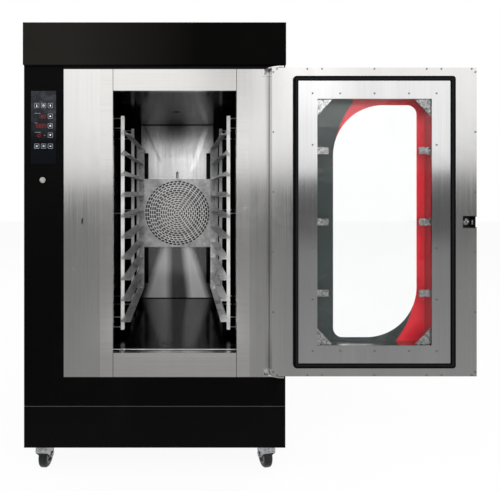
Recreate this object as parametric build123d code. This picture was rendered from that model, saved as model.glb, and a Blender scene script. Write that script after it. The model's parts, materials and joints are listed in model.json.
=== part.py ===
from build123d import *
import math
import os

# Convection oven on casters, with its door swung fully open.
# Lengths are millimetres and angles are degrees.
# X = 0 is the middle of the cooking cavity and grows to the right of someone facing the oven.
# Y = 0 is the front face of the body and grows to the back. Z = 0 is the floor.
# At the end the whole model moves so that its origin is under the middle of its footprint.

# Body
left_reach = 603.0        # cavity middle to the left side
right_reach = 442.5       # cavity middle to the right side
body_depth = 1250.0
roof_top = 1775.0
sheet = 1.5               # folded sheet metal of the casing
seam = 0.3                # gap between neighbouring pieces
panel_depth = 14.0        # depth of a folded casing panel, and how far the chassis stands inside

# Header across the top
header_crest = 43.5       # its height above the roof
header_face = 168.0       # height of its front
header_proud = 13.0       # how far it stands in front of the body
header_lip_depth = 60.0   # depth of its hollow crest above the roof
hanging_flange = 14.0     # black flange under the header, above the stainless front

# Front, from the floor up
skirt_bottom = 122.0
skirt_top = 288.0
skirt_seam = 2.0
steel_bottom = 405.0
column_width = 159.0      # control column
right_column_width = 55.5
rail_gap = 2.0            # stainless stiles to the rails between them

# Chassis of square tube
tube = 40.0
tube_wall = 2.0
chassis_bottom = 132.0
cradle_drop = 61.8        # cavity floor to the tubes that carry it
front_post_cover = 28.0   # front posts behind the control column's edge
corner_plate = 4.0
corner_plate_length = 116.0

# Cooking cavity
mouth_width = 496.0
mouth_bottom = 501.5
top_rail = 86.0           # stainless rail above the mouth
cavity_width = 600.0
jamb_depth = 26.0
rear_room = 255.0         # cavity's rear wall to the back of the body
insulation_thickness = 60.0

# Fan panel, guard and fan
fan_room = 130.0          # fan panel to the cavity's rear wall
fan_panel_width = 436.0
fan_panel_gap = 4.0       # gap above and below the fan panel
fan_panel_fold = 20.0
fan_hole_radius = 150.0
air_slot_inner = 175.0    # inner edge of a long air slot from the middle
air_slot_width = 24.0
air_slot_rise = 92.5      # its lower end above the cavity floor
air_slot_drop = 170.5     # its upper end below the ceiling
fan_drop = 7.0            # fan axis below the middle of the cavity
guard_width = 402.0
guard_height = 408.0
guard_depth = 22.0
guard_sheet = 1.2
guard_ring_radius = 188.0
guard_ring_pitch = 13.2
guard_ring_count = 14
guard_slot_pitch = 24.6   # length of arc that holds one slot and its bridge
guard_slot_share = 0.72   # share of that arc which is cut
guard_slot_width = 6.0
guard_bold_width = 8.0
guard_bold_rings = (0, 1, 4, 5)
impeller_radius = 165.0
impeller_gap = 19.0       # fan panel to impeller
impeller_depth = 84.0
impeller_eye = 108.0      # inner radius of its front ring
blade_count = 30
blade_thickness = 1.6
shaft_radius = 9.5
running_fit = 0.05        # radial clearance of a turning fit
shaft_room = 102.0        # end of the shaft to the back of the body

# Heaters
heater_radius = 190.0
heater_tube_radius = 4.2
heater_leg_radius = 5.0   # straight sleeves that carry each ring's ends
heater_gap = 30.0         # fan panel to the first heater
heater_pitch = 25.0
heater_count = 3
heater_gap_angle = 24.0   # opening of each ring at the bottom

# Fan motor
motor_plate_size = 240.0
motor_stand = 63.0        # cavity's rear wall to the motor plate
motor_plate_thickness = 3.0
motor_radius = 62.0
motor_length = 130.0
motor_fin_count = 28
motor_fin_height = 8.0

# Tray racks
rail_drop = 148.0         # ceiling to the highest tray level
rail_rise = 69.4          # cavity floor to the lowest tray level
rail_count = 10
rail_front = 180.0
rail_back_gap = 29.0      # fan panel to the rails
rail_half_gap = 200.0     # middle of the cavity to the inner edge of a ledge
rail_leg_inside = 227.0   # middle of the cavity to the upright leg of a rail
rail_leg_height = 20.0
rail_sheet = 1.5
rail_tab_width = 15.0
post_width = 15.0
post_depth = 16.0
post_front_y = 190.0
post_middle_y = 570.0
post_rise = 30.5          # cavity floor to the posts' feet
post_drop = 66.5          # ceiling to the posts' tops
stop_inside = 198.0       # middle of the cavity to the tray stop strip at the back
stop_sheet = 2.0
stop_corner = 22.0
peg_radius = 2.5
peg_rises = (41.0, 84.5)  # lower pegs above the cavity floor
peg_drops = (120.0, 76.5) # upper pegs below the ceiling
peg_middle = 23.5         # middle peg above the middle of the cavity
stud_radius = 3.0
stud_head_radius = 6.0
stud_length = 16.0
stud_y = 150.0
stud_inset = 148.5        # lower studs above the cavity floor
stud_drop = 166.5         # upper studs below the ceiling

# Vent, drain and water
vent_y = 449.0
vent_radius = 20.0
vent_wall = 2.0
vent_rise = 37.0          # its spigot above the roof
vent_collar_radius = 23.5 # collar that holds the spigot under the roof
vent_collar_thickness = 2.0
vent_hole_gap = 1.0       # spigot to the edge of its hole in the roof
drain_x = -30.0
drain_y = 122.0
drain_pipe_radius = 16.0
drain_strainer_radius = 26.0
drain_drop = 96.5         # its end below the cavity floor
water_rise = 243.0        # water tube above the fan axis
water_tube_radius = 6.5
water_spout_gap = 15.0    # spout in front of the fan panel
water_spout_drop = 34.0
water_bend = 12.0
water_valve_room = 140.0  # front of the valve to the back of the body
water_valve_length = 40.0
water_valve_size = 36.0
water_coil_height = 34.0
water_inlet_radius = 13.2
water_inlet_reach = 22.0  # how far the inlet stands out of the rear panel
water_nut_radius = 18.0
water_nut_thickness = 5.0
gland_inset = 83.0        # cable gland to the left side
gland_z = 360.0
gland_bore = 8.0
gland_radius = 14.0
gland_reach = 18.0

# Rear louvres
louvre_length = 170.0
louvre_height = 6.0
louvre_pitch = 18.0
louvre_count = 14
louvre_middles = (-230.0, 230.0)
louvre_drop = 2.0         # middle of the louvres below the fan axis

# Door, drawn closed
door_left_cover = 44.5    # stainless front left of the closed door
door_top_cover = 8.5      # stainless front above the closed door
door_bottom = 429.5
door_thickness = 50.0
gasket_gap = 10.0         # closed door to stainless front
open_clearance = 2.0      # open door to the body's front
hinge_side = 0.5          # hinge axis to the stainless front's right edge
hinge_inset = 9.0         # hinge axis to the door's edge
door_lip = 14.0           # inward lip that takes the edge screws
outer_glass = 4.7
print_thickness = 0.3
inner_glass = 4.0
skin_window_margin = 14.0
view_side = 178.5         # door's left edge to the window seen from the inside
view_end = 122.75         # door's ends to that window
frame_border = 73.5       # width of the window frame beside the window
frame_end_border = 70.0   # width of the window frame above and below the window
frame_rise = 5.8          # how far the window frame stands above the inner panel
inner_glass_lap = 14.0    # how far the inner glass reaches under the window frame
gasket_width = 18.0
gasket_clearance = 0.4    # closed gasket to stainless front
gasket_corner = 12.0
glass_left_margin = 62.0
glass_right_margin = 45.0
glass_end_margin = 30.0
clear_side = 55.0         # window's side to the clear part of the glass print
clear_end = 15.0          # window's end to that clear part
clear_shift = -23.5
clear_big_radius = 199.0
clear_small_radius = 37.0

# Glass clips and corner gussets inside the window
clip_behind = 3.0         # behind the inner glass
clip_length = 46.0
clip_width = 27.0
clip_leg = 18.0
clip_sheet = 2.0
clip_spacing = 277.0
gusset_width = 62.0
gusset_height = 66.0

# Door screws
screw_head_radius = 3.4
screw_head_height = 2.0
screw_shank_radius = 1.9
screw_shank_length = 6.0
frame_screw_x = (133.0, 239.6)
frame_screw_end = 49.0    # window frame's end to its last screw
frame_screw_rows = 6
edge_screw_inset = 5.4
edge_screw_x = (0.0, 203.0, 260.0, 377.5)
edge_screw_rows = 6
edge_screw_end = 17.5     # door's end to the last screw of a side

# Hinges
hinge_plate_width = 35.0
hinge_plate_height = 27.0
hinge_plate_thickness = 2.5
hinge_arm_thickness = 5.0
hinge_arm_reach = 50.0
hinge_arm_left = 357.0
hinge_arm_right = 425.0
hinge_gap = 2.2           # door end to hinge arm
hinge_pin_radius = 5.0
hinge_pin_depth = 20.0
bush_block_left = 14.0
bush_block_depth = 24.0
bush_block_height = 22.0
washer_radius = 9.0
washer_play = 0.15

# Latch
latch_inset = 30.0        # latch axis to the door's free edge
latch_box_width = 49.0
latch_box_height = 47.0
latch_box_depth = 28.0
latch_box_wall = 2.0
latch_box_corner = 6.0
latch_notch_height = 40.0
spindle_radius = 5.0
hook_neck_radius = 2.5
hook_bar_length = 18.0
hook_bar_width = 5.5
hook_bar_thickness = 5.0
hook_cam_radius = 13.0
hook_behind = 2.2         # closed hook bar behind the front's face
keeper_slot_width = 7.5
keeper_slot_height = 21.0
keeper_width = 26.0
keeper_height = 32.0
keeper_depth = 12.5
rosette_radius = 22.0
rosette_thickness = 6.0
lever_hub_radius = 15.0
lever_length = 140.0
lever_width = 22.0
lever_thickness = 12.0
lever_standoff = 22.0

# Controls
glass_side = 78.4         # left side to the middle of the control glass
glass_drop = 246.8        # column's top to the middle of the control glass
glass_width = 100.0
glass_height = 291.0
glass_proud = 1.0
glass_thickness = 4.0
glass_gap = 0.4
key_columns = (-26.8, 0.4, 27.6)                    # from the middle of the glass
key_rows = (86.9, 44.1, 5.7, -31.5, -75.5)
key_size = 21.0
key_corner = 4.0
key_gap = 0.3
key_proud = 0.8
key_depth = 5.0
key_travel = 0.8
key_stem_radius = 2.0
key_switch_size = 6.0
key_switch_gap = 0.9      # free stem to its switch, more than the key's travel
board_y = 12.0
board_thickness = 1.6
board_overhang = 7.0      # board beyond the control glass on every side
board_post_radius = 2.5
display_places = ((-6.4, 42.8), (-8.4, 6.1), (-22.4, -32.7))
display_widths = (33.0, 36.0, 20.0)
display_height = 14.0
button_offset = 3.6       # button's middle left of the glass's middle
button_drop = 211.1       # button's middle below the glass's middle
button_radius = 8.4
button_travel = 3.0
button_proud = 4.6
button_bezel_radius = 12.0
button_bezel_proud = 2.6
button_barrel_radius = 10.8
button_barrel_length = 22.0
button_nut_radius = 15.0
button_nut_thickness = 5.0

# Casters
caster_inset_x = 48.0     # chassis side to swivel axis
caster_inset_y = 42.0     # chassis end to swivel axis
caster_plate_x = 90.0
caster_plate_y = 80.0
caster_plate_thickness = 4.0
caster_swivels = (-3.0, 10.0, -20.0, 20.0)          # how each wheel stands at rest
caster_trail = 25.0
wheel_radius = 50.0
wheel_width = 36.0
wheel_round = 12.0
wheel_hub_radius = 34.0
race_radius = 29.0
race_height = 13.0
race_play = 0.4
kingpin_radius = 6.0
fork_sheet = 3.0
fork_side_gap = 4.0       # wheel to fork leg
axle_radius = 6.0
axle_head_radius = 9.0
axle_head_height = 5.0
fork_apron_drop = 30.0

# Places that follow from the sizes above
header_top = roof_top + header_crest
column_top = header_top - header_face
steel_top = column_top - hanging_flange
steel_left = -left_reach + column_width
steel_right = right_reach - right_column_width
mouth_top = steel_top - top_rail
mouth_middle = (mouth_bottom + mouth_top) / 2
cradle_top = mouth_bottom - cradle_drop
front_post_left = steel_left - front_post_cover
rear_wall = body_depth - rear_room
fan_panel_y = rear_wall - fan_room
fan_height = mouth_middle - fan_drop
impeller_front = fan_panel_y + impeller_gap
impeller_back = impeller_front + impeller_depth
shaft_end = body_depth - shaft_room
heater_first_y = fan_panel_y + heater_gap
motor_plate_y = rear_wall + motor_stand
rail_first_z = mouth_top - rail_drop
rail_pitch = (rail_first_z - mouth_bottom - rail_rise) / (rail_count - 1)
rail_back = fan_panel_y - rail_back_gap
post_bottom = mouth_bottom + post_rise
post_top = mouth_top - post_drop
peg_heights = [mouth_bottom + rise for rise in peg_rises] + [mouth_middle + peg_middle]
peg_heights += [mouth_top - drop for drop in peg_drops]
stud_heights = (mouth_bottom + stud_inset, mouth_top - stud_drop)
vent_top = roof_top + vent_rise
drain_bottom = mouth_bottom - drain_drop
water_height = fan_height + water_rise
louvre_low = fan_height - louvre_drop - louvre_pitch * (louvre_count - 1) / 2
water_spout_y = fan_panel_y - water_spout_gap
water_valve_y = body_depth - water_valve_room
gland_x = -left_reach + gland_inset
hinge_x = steel_right - hinge_side
chassis_left = -left_reach + panel_depth
chassis_right = right_reach - panel_depth
front_post_right = chassis_right - tube
chassis_front = panel_depth
chassis_back = body_depth - panel_depth
chassis_top = roof_top - panel_depth
hem = panel_depth - seam
panel_bottom = skirt_top + skirt_seam
body_left = -left_reach
body_right = right_reach
cavity_half = cavity_width / 2
mouth_half = mouth_width / 2
cavity_front = jamb_depth + seam
fan_panel_low = mouth_bottom + fan_panel_gap
fan_panel_high = mouth_top - fan_panel_gap
guard_y = fan_panel_y - guard_depth
insulation_gap = 2 * seam
insulation_left = -cavity_half - sheet - insulation_gap
insulation_back = rear_wall + sheet + insulation_gap
door_right = hinge_x + hinge_inset
door_left = steel_left + door_left_cover
door_top = steel_top - door_top_cover
door_width = door_right - door_left
door_height = door_top - door_bottom
view_width = -2 * (door_left + view_side)
view_height = door_height - 2 * view_end
view_middle_z = door_bottom + door_height / 2
frame_width = view_width + 2 * frame_border
frame_height = view_height + 2 * frame_end_border
frame_screw_z = (frame_height - 2 * frame_screw_end) / (frame_screw_rows - 1)
edge_screw_z_span = door_height - 2 * edge_screw_end
clear_width = view_width - 2 * clear_side
clear_height = view_height - 2 * clear_end
latch_z = view_middle_z
door_inner = -gasket_gap
door_outer = -(gasket_gap + door_thickness)
skin_y = door_outer + outer_glass + print_thickness
hinge_y = -(gasket_gap + door_thickness + open_clearance) / 2
latch_x = door_left + latch_inset
caster_top = chassis_bottom - corner_plate
latch_back = door_inner - latch_box_depth
glass_x = -left_reach + glass_side
glass_z = column_top - glass_drop
button_x = glass_x - button_offset
button_z = glass_z - button_drop
rail_leg_outside = rail_leg_inside + rail_sheet
post_outside = rail_leg_outside + post_width
rail_levels = [rail_first_z - rail_pitch * i for i in range(rail_count)]


def block(x0, x1, y0, y1, z0, z1):
    middle = Pos((x0 + x1) / 2, (y0 + y1) / 2, (z0 + z1) / 2)
    return middle * Box(x1 - x0, y1 - y0, z1 - z0)


def rod_x(radius, x0, x1, y, z):
    return Pos((x0 + x1) / 2, y, z) * Rot(0, 90, 0) * Cylinder(radius, x1 - x0)


def rod_y(radius, x, y0, y1, z):
    return Pos(x, (y0 + y1) / 2, z) * Rot(90, 0, 0) * Cylinder(radius, y1 - y0)


def rod_z(radius, x, y, z0, z1):
    return Pos(x, y, (z0 + z1) / 2) * Cylinder(radius, z1 - z0)


def facing(x, y, z):
    # Sketch plane that looks at the front: drawn in X and Z, extruded towards the viewer.
    return Plane(origin=(x, y, z), x_dir=(1, 0, 0), z_dir=(0, -1, 0))


def rounded_plate(x, z, width, height, y_front, y_back, corner):
    outline = facing(x, y_back, z) * RectangleRounded(width, height, corner)
    return extrude(outline, amount=y_back - y_front)


def window_ring(x, z, outer_w, outer_h, inner_w, inner_h, y_front, y_back):
    outer = block(x - outer_w / 2, x + outer_w / 2, y_front, y_back, z - outer_h / 2, z + outer_h / 2)
    inner = block(
        x - inner_w / 2, x + inner_w / 2, y_front - 1, y_back + 1, z - inner_h / 2, z + inner_h / 2
    )
    return outer - inner


def tray(x0, x1, y0, y1, z0, z1, open_to):
    # Sheet panel with a hem on all four sides, open towards one side such as "+y".
    low = [x0, y0, z0]
    high = [x1, y1, z1]
    inner_low = [value + sheet for value in low]
    inner_high = [value - sheet for value in high]
    axis = "xyz".index(open_to[1])
    if open_to[0] == "+":
        inner_high[axis] = high[axis] + 1
    else:
        inner_low[axis] = low[axis] - 1
    outer = block(low[0], high[0], low[1], high[1], low[2], high[2])
    inner = block(inner_low[0], inner_high[0], inner_low[1], inner_high[1], inner_low[2], inner_high[2])
    return outer - inner


def square_tube(x0, x1, y0, y1, z0, z1, axis):
    low = [x0, y0, z0]
    high = [x1, y1, z1]
    inner_low = [value + tube_wall for value in low]
    inner_high = [value - tube_wall for value in high]
    index = "xyz".index(axis)
    inner_low[index] = low[index] - 1
    inner_high[index] = high[index] + 1
    outer = block(low[0], high[0], low[1], high[1], low[2], high[2])
    inner = block(inner_low[0], inner_high[0], inner_low[1], inner_high[1], inner_low[2], inner_high[2])
    return outer - inner


def group(solids):
    # Separate solids that share one node.
    return Compound(children=[piece for solid in solids for piece in solid.solids()])


def turned_open(shape):
    # The door is drawn closed, and stands open by half a turn about its hinge axis.
    return Pos(hinge_x, hinge_y, 0) * Rot(0, 0, 180) * Pos(-hinge_x, -hinge_y, 0) * shape


parts = {}


# Chassis

def build_chassis():
    low = chassis_bottom
    high = chassis_top
    ring_low = high - tube
    inner_left = chassis_left + tube
    inner_right = chassis_right - tube
    front_in = chassis_front + tube
    back_in = chassis_back - tube
    cradle_low = cradle_top - tube
    span = back_in - front_in
    pieces = []
    for z in (low, ring_low):
        pieces.append(square_tube(chassis_left, chassis_right, chassis_front, front_in, z, z + tube, "x"))
        pieces.append(square_tube(chassis_left, chassis_right, back_in, chassis_back, z, z + tube, "x"))
        pieces.append(square_tube(chassis_left, inner_left, front_in, back_in, z, z + tube, "y"))
        pieces.append(square_tube(inner_right, chassis_right, front_in, back_in, z, z + tube, "y"))
    for share in (1 / 3, 2 / 3):
        y = front_in + span * share - tube / 2
        pieces.append(square_tube(inner_left, inner_right, y, y + tube, low, low + tube, "x"))
    for x in (front_post_left, front_post_right):
        pieces.append(square_tube(x, x + tube, chassis_front, front_in, low + tube, ring_low, "z"))
    for x in (chassis_left, inner_right):
        pieces.append(square_tube(x, x + tube, back_in, chassis_back, low + tube, ring_low, "z"))
    pieces.append(
        square_tube(front_post_left + tube, front_post_right, chassis_front, front_in, cradle_low, cradle_top, "x")
    )
    pieces.append(square_tube(inner_left, inner_right, back_in, chassis_back, cradle_low, cradle_top, "x"))
    for x in (-cavity_half - tube / 2, cavity_half - tube / 2):
        pieces.append(square_tube(x, x + tube, front_in, back_in, cradle_low, cradle_top, "y"))
    for x in (chassis_left, chassis_right - corner_plate_length):
        for y in (chassis_front, chassis_back - corner_plate_length):
            pieces.append(
                block(x, x + corner_plate_length, y, y + corner_plate_length, low - corner_plate, low)
            )
    return group(pieces)


# Casing

def build_skirt():
    z0 = skirt_bottom
    z1 = skirt_top
    pieces = [
        block(body_left, body_right, 0, sheet, z0, z1),
        block(body_left, body_right, body_depth - sheet, body_depth, z0, z1),
        block(body_left, body_left + sheet, sheet, body_depth - sheet, z0, z1),
        block(body_right - sheet, body_right, sheet, body_depth - sheet, z0, z1),
    ]
    # Flanges turned in along its top close the seam under the panels.
    for y0, y1 in ((sheet, hem), (body_depth - hem, body_depth - sheet)):
        pieces.append(block(body_left + sheet, body_right - sheet, y0, y1, z1 - sheet, z1))
    for x0, x1 in ((body_left + sheet, body_left + hem), (body_right - hem, body_right - sheet)):
        pieces.append(block(x0, x1, hem, body_depth - hem, z1 - sheet, z1))
    spacer_low = chassis_bottom
    spacer_high = chassis_bottom + tube
    for x in (chassis_left, chassis_right - tube):
        pieces.append(block(x, x + tube, sheet, hem, spacer_low, spacer_high))
        pieces.append(block(x, x + tube, body_depth - hem, body_depth - sheet, spacer_low, spacer_high))
    for y in (chassis_front, chassis_back - tube):
        pieces.append(block(body_left + sheet, body_left + hem, y, y + tube, spacer_low, spacer_high))
        pieces.append(block(body_right - hem, body_right - sheet, y, y + tube, spacer_low, spacer_high))
    return group(pieces)


def build_header():
    # Folded box in front of the chassis, with a hollow crest that stands above the roof.
    front = -header_proud
    low = column_top + seam
    lower = block(body_left, body_right, front, hem, low, header_top)
    crest = block(body_left, body_right, front, header_lip_depth, roof_top + seam, header_top)
    inside = block(
        body_left + sheet, body_right - sheet, front + sheet, hem + 1, low + sheet, header_top - sheet
    )
    inside_crest = block(
        body_left + sheet,
        body_right - sheet,
        front + sheet,
        header_lip_depth - sheet,
        roof_top + seam + sheet,
        header_top - sheet,
    )
    return (lower + crest) - inside - inside_crest


def build_control_column():
    column = tray(body_left, steel_left - seam, 0, hem, panel_bottom, column_top, "+y")
    glass_hole = rounded_plate(
        glass_x, glass_z, glass_width + 2 * glass_gap, glass_height + 2 * glass_gap, -1, sheet + 1, 1.0
    )
    button_hole = rod_y(button_barrel_radius + seam, button_x, -1, sheet + 1, button_z)
    return column - glass_hole - button_hole


def build_front_frame():
    pocket_back = sheet + keeper_depth
    slot = block(
        latch_x - keeper_slot_width / 2,
        latch_x + keeper_slot_width / 2,
        -1,
        sheet + 1,
        latch_z - keeper_slot_height / 2,
        latch_z + keeper_slot_height / 2,
    )

    def stile(outer_x, side):
        # side is -1 on the left and 1 on the right.
        def span(a, b, y0, y1, z0, z1):
            return block(min(a, b), max(a, b), y0, y1, z0, z1)

        edge = side * mouth_half
        face = span(outer_x, edge, 0, sheet, steel_bottom, steel_top)
        outer_hem = span(outer_x, outer_x - side * sheet, 0, hem, steel_bottom, steel_top)
        jamb = span(edge, edge + side * sheet, 0, jamb_depth, mouth_bottom - sheet, mouth_top + sheet)
        flange = span(edge, side * cavity_half, jamb_depth - sheet, jamb_depth, mouth_bottom, mouth_top)
        return face + outer_hem + jamb + flange

    def rail(z0, z1, jamb_z):
        x = mouth_half - rail_gap
        face = block(-x, x, 0, sheet, z0, z1)
        jamb = block(-x, x, 0, jamb_depth, jamb_z, jamb_z + sheet)
        return face + jamb

    keeper = tray(
        latch_x - keeper_width / 2,
        latch_x + keeper_width / 2,
        sheet,
        pocket_back,
        latch_z - keeper_height / 2,
        latch_z + keeper_height / 2,
        "-y",
    )
    hanging = block(
        steel_left, steel_right, 0, sheet, steel_top + seam, steel_top + hanging_flange - seam
    )
    return group(
        [
            stile(steel_left, -1) - slot,
            stile(steel_right, 1),
            rail(mouth_top, steel_top, mouth_top),
            rail(steel_bottom, mouth_bottom, mouth_bottom - sheet),
            keeper,
            hanging,
        ]
    )


def build_rear_panel():
    panel = tray(
        body_left, body_right, body_depth - hem, body_depth, panel_bottom, chassis_top, "-y"
    )
    cuts = [
        rod_y(water_inlet_radius + seam, 0, body_depth - 5, body_depth + 1, water_height),
        rod_y(gland_bore + 4, gland_x, body_depth - 5, body_depth + 1, gland_z),
    ]
    for middle in louvre_middles:
        for row in range(louvre_count):
            z = louvre_low + row * louvre_pitch
            cuts.append(
                block(
                    middle - louvre_length / 2,
                    middle + louvre_length / 2,
                    body_depth - 5,
                    body_depth + 1,
                    z,
                    z + louvre_height,
                )
            )
    gland = rod_y(gland_radius, gland_x, body_depth, body_depth + gland_reach, gland_z)
    gland += rod_y(gland_bore + 3.7, gland_x, body_depth - 8, body_depth, gland_z)
    gland -= rod_y(gland_bore, gland_x, body_depth - 9, body_depth + gland_reach + 1, gland_z)
    return group([panel - cuts, gland])


def build_roof():
    roof = tray(
        body_left, body_right, header_lip_depth + seam, body_depth, chassis_top + seam, roof_top, "-z"
    )
    front_strip = block(
        body_left + sheet + seam,
        body_right - sheet - seam,
        panel_depth,
        header_lip_depth,
        chassis_top + seam,
        chassis_top + seam + sheet,
    )
    vent_hole = rod_z(vent_radius + vent_hole_gap, 0, vent_y, roof_top - 5, roof_top + 1)
    return group([roof - vent_hole, front_strip])


parts["chassis_frame"] = build_chassis()
parts["skirt"] = build_skirt()
parts["header_fascia"] = build_header()
parts["control_column"] = build_control_column()
parts["right_column"] = tray(steel_right + seam, body_right, 0, hem, panel_bottom, column_top, "+y")
parts["lower_front_panel"] = tray(
    steel_left, steel_right, 0, hem, panel_bottom, steel_bottom - seam, "+y"
)
parts["front_frame"] = build_front_frame()
side_low = panel_bottom
side_high = chassis_top
parts["left_side_panel"] = tray(
    body_left, body_left + hem, hem + seam, chassis_back, side_low, side_high, "+x"
)
parts["right_side_panel"] = tray(
    body_right - hem, body_right, hem + seam, chassis_back, side_low, side_high, "-x"
)
parts["rear_panel"] = build_rear_panel()
parts["roof_panel"] = build_roof()


# Cooking cavity

def wall_fittings(side):
    # Pegs that hold a rack away from the wall, and the headed studs that it hangs on.
    wall = side * cavity_half
    rack = side * (post_outside + seam)
    fittings = []
    for y in (post_front_y + post_depth / 2, post_middle_y + post_depth / 2):
        for z in peg_heights:
            fittings.append(rod_x(peg_radius, min(wall, rack), max(wall, rack), y, z))
    for z in stud_heights:
        tip = wall - side * stud_length
        neck = rod_x(stud_radius, min(wall, tip), max(wall, tip), stud_y, z)
        head_end = tip - side * 2
        head = rod_x(stud_head_radius, min(tip, head_end), max(tip, head_end), stud_y, z)
        fittings.append(neck + head)
    return fittings


def build_cavity_wall(side):
    outside = side * (cavity_half + sheet)
    inside = side * cavity_half
    wall = block(
        min(inside, outside),
        max(inside, outside),
        cavity_front,
        rear_wall,
        mouth_bottom - sheet,
        mouth_top + sheet,
    )
    return group([wall] + wall_fittings(side))


def build_floor():
    floor = block(-cavity_half, cavity_half, cavity_front, rear_wall, mouth_bottom - sheet, mouth_bottom)
    floor -= rod_z(drain_pipe_radius - 1, drain_x, drain_y, mouth_bottom - 5, mouth_bottom + 1)
    pipe = rod_z(drain_pipe_radius, drain_x, drain_y, drain_bottom, mouth_bottom - sheet)
    pipe -= rod_z(drain_pipe_radius - 2, drain_x, drain_y, drain_bottom - 1, mouth_bottom)
    strainer = rod_z(drain_strainer_radius, drain_x, drain_y, mouth_bottom, mouth_bottom + 1.2)
    holes = [
        rod_z(2.0, drain_x + 8 * math.cos(a), drain_y + 8 * math.sin(a), mouth_bottom - 1, mouth_bottom + 3)
        for a in [math.radians(60 * i) for i in range(6)]
    ]
    return group([floor, pipe, strainer - holes])


def heater_legs(radius):
    # The straight ends of the heater rings, which pass through the rear wall.
    angle = math.radians(heater_gap_angle / 2)
    legs = []
    for ring in range(heater_count):
        y = heater_first_y + heater_pitch * ring
        spread = angle * (1 + 0.75 * ring)
        for side in (-1, 1):
            x = side * heater_radius * math.sin(spread)
            z = fan_height - heater_radius * math.cos(spread)
            legs.append(rod_y(radius, x, y - heater_leg_radius, insulation_back + 20, z))
    return legs


def motor_spacers(radius):
    offset = motor_plate_size / 2 - 20
    return [
        rod_y(radius, x, rear_wall + sheet, motor_plate_y, fan_height + z)
        for x in (-offset, offset)
        for z in (-offset, offset)
    ]


def build_rear_wall():
    half = cavity_half + sheet
    wall = block(-half, half, rear_wall, rear_wall + sheet, mouth_bottom - sheet, mouth_top + sheet)
    cuts = [rod_y(shaft_radius + 5, 0, rear_wall - 5, rear_wall + 5, fan_height)]
    cuts += heater_legs(heater_leg_radius + seam)
    cuts.append(rod_y(water_tube_radius + seam, 0, rear_wall - 5, rear_wall + 5, water_height))
    return wall - cuts


def build_insulation():
    thick = insulation_thickness
    outer = -insulation_left + thick
    low = mouth_bottom - sheet - insulation_gap
    high = mouth_top + sheet + insulation_gap
    front = jamb_depth + 2
    back = insulation_back
    sides = [
        block(-outer, insulation_left, front, back, low, high),
        block(-insulation_left, outer, front, back, low, high),
    ]
    top = block(-outer, outer, front, back, high, high + thick)
    top -= rod_z(vent_radius + seam, 0, vent_y, high - 1, high + thick + 1)
    bottom = block(-outer, outer, front, back, cradle_top + seam, low)
    bottom -= rod_z(drain_pipe_radius + seam, drain_x, drain_y, cradle_top - 1, low + 1)
    rear = block(-outer, outer, back, back + thick, cradle_top + seam, high + thick)
    cuts = [rod_y(shaft_radius + 5, 0, back - 5, back + thick + 5, fan_height)]
    cuts += heater_legs(heater_leg_radius + seam)
    cuts += motor_spacers(6 + seam)
    cuts.append(rod_y(water_tube_radius + seam, 0, back - 5, back + thick + 5, water_height))
    return group(sides + [top, bottom, rear - cuts])


parts["cavity_left_wall"] = build_cavity_wall(-1)
parts["cavity_right_wall"] = build_cavity_wall(1)
ceiling = block(-cavity_half, cavity_half, cavity_front, rear_wall, mouth_top, mouth_top + sheet)
vent_hole = rod_z(vent_radius - vent_wall, 0, vent_y, mouth_top - 1, mouth_top + 5)
parts["cavity_ceiling"] = ceiling - vent_hole
parts["cavity_floor"] = build_floor()
parts["cavity_rear_wall"] = build_rear_wall()
parts["insulation"] = build_insulation()


# Fan panel, guard, fan, heaters and motor

def build_fan_panel():
    half = fan_panel_width / 2
    panel = block(-half, half, fan_panel_y, fan_panel_y + sheet, fan_panel_low, fan_panel_high)
    for side in (-1, 1):
        edge = side * half
        inner = edge - side * sheet
        panel += block(
            min(edge, inner), max(edge, inner), fan_panel_y, fan_panel_y + fan_panel_fold,
            fan_panel_low, fan_panel_high,
        )
    cuts = [
        rod_y(fan_hole_radius, 0, fan_panel_y - 5, fan_panel_y + 5, fan_height),
        rod_y(water_tube_radius + seam, 0, fan_panel_y - 5, fan_panel_y + 5, water_height),
    ]
    for side in (-1, 1):
        near = side * air_slot_inner
        far = side * (air_slot_inner + air_slot_width)
        cuts.append(
            block(
                min(near, far), max(near, far), fan_panel_y - 5, fan_panel_y + 5,
                mouth_bottom + air_slot_rise, mouth_top - air_slot_drop,
            )
        )
    spacers = [
        rod_y(7, x, fan_panel_y + sheet, rear_wall, z)
        for x in (-half + 40, half - 40)
        for z in (fan_panel_low + 60, fan_panel_high - 60)
    ]
    return group([panel - cuts] + spacers)


def slot_wire(radius, width, start, end):
    inner = radius - width / 2
    outer = radius + width / 2

    def at(r, angle):
        return (r * math.cos(math.radians(angle)), r * math.sin(math.radians(angle)), 0)

    middle = (start + end) / 2
    return Wire(
        [
            Edge.make_three_point_arc(at(inner, start), at(inner, middle), at(inner, end)),
            Edge.make_line(at(inner, end), at(outer, end)),
            Edge.make_three_point_arc(at(outer, end), at(outer, middle), at(outer, start)),
            Edge.make_line(at(outer, start), at(inner, start)),
        ]
    )


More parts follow.
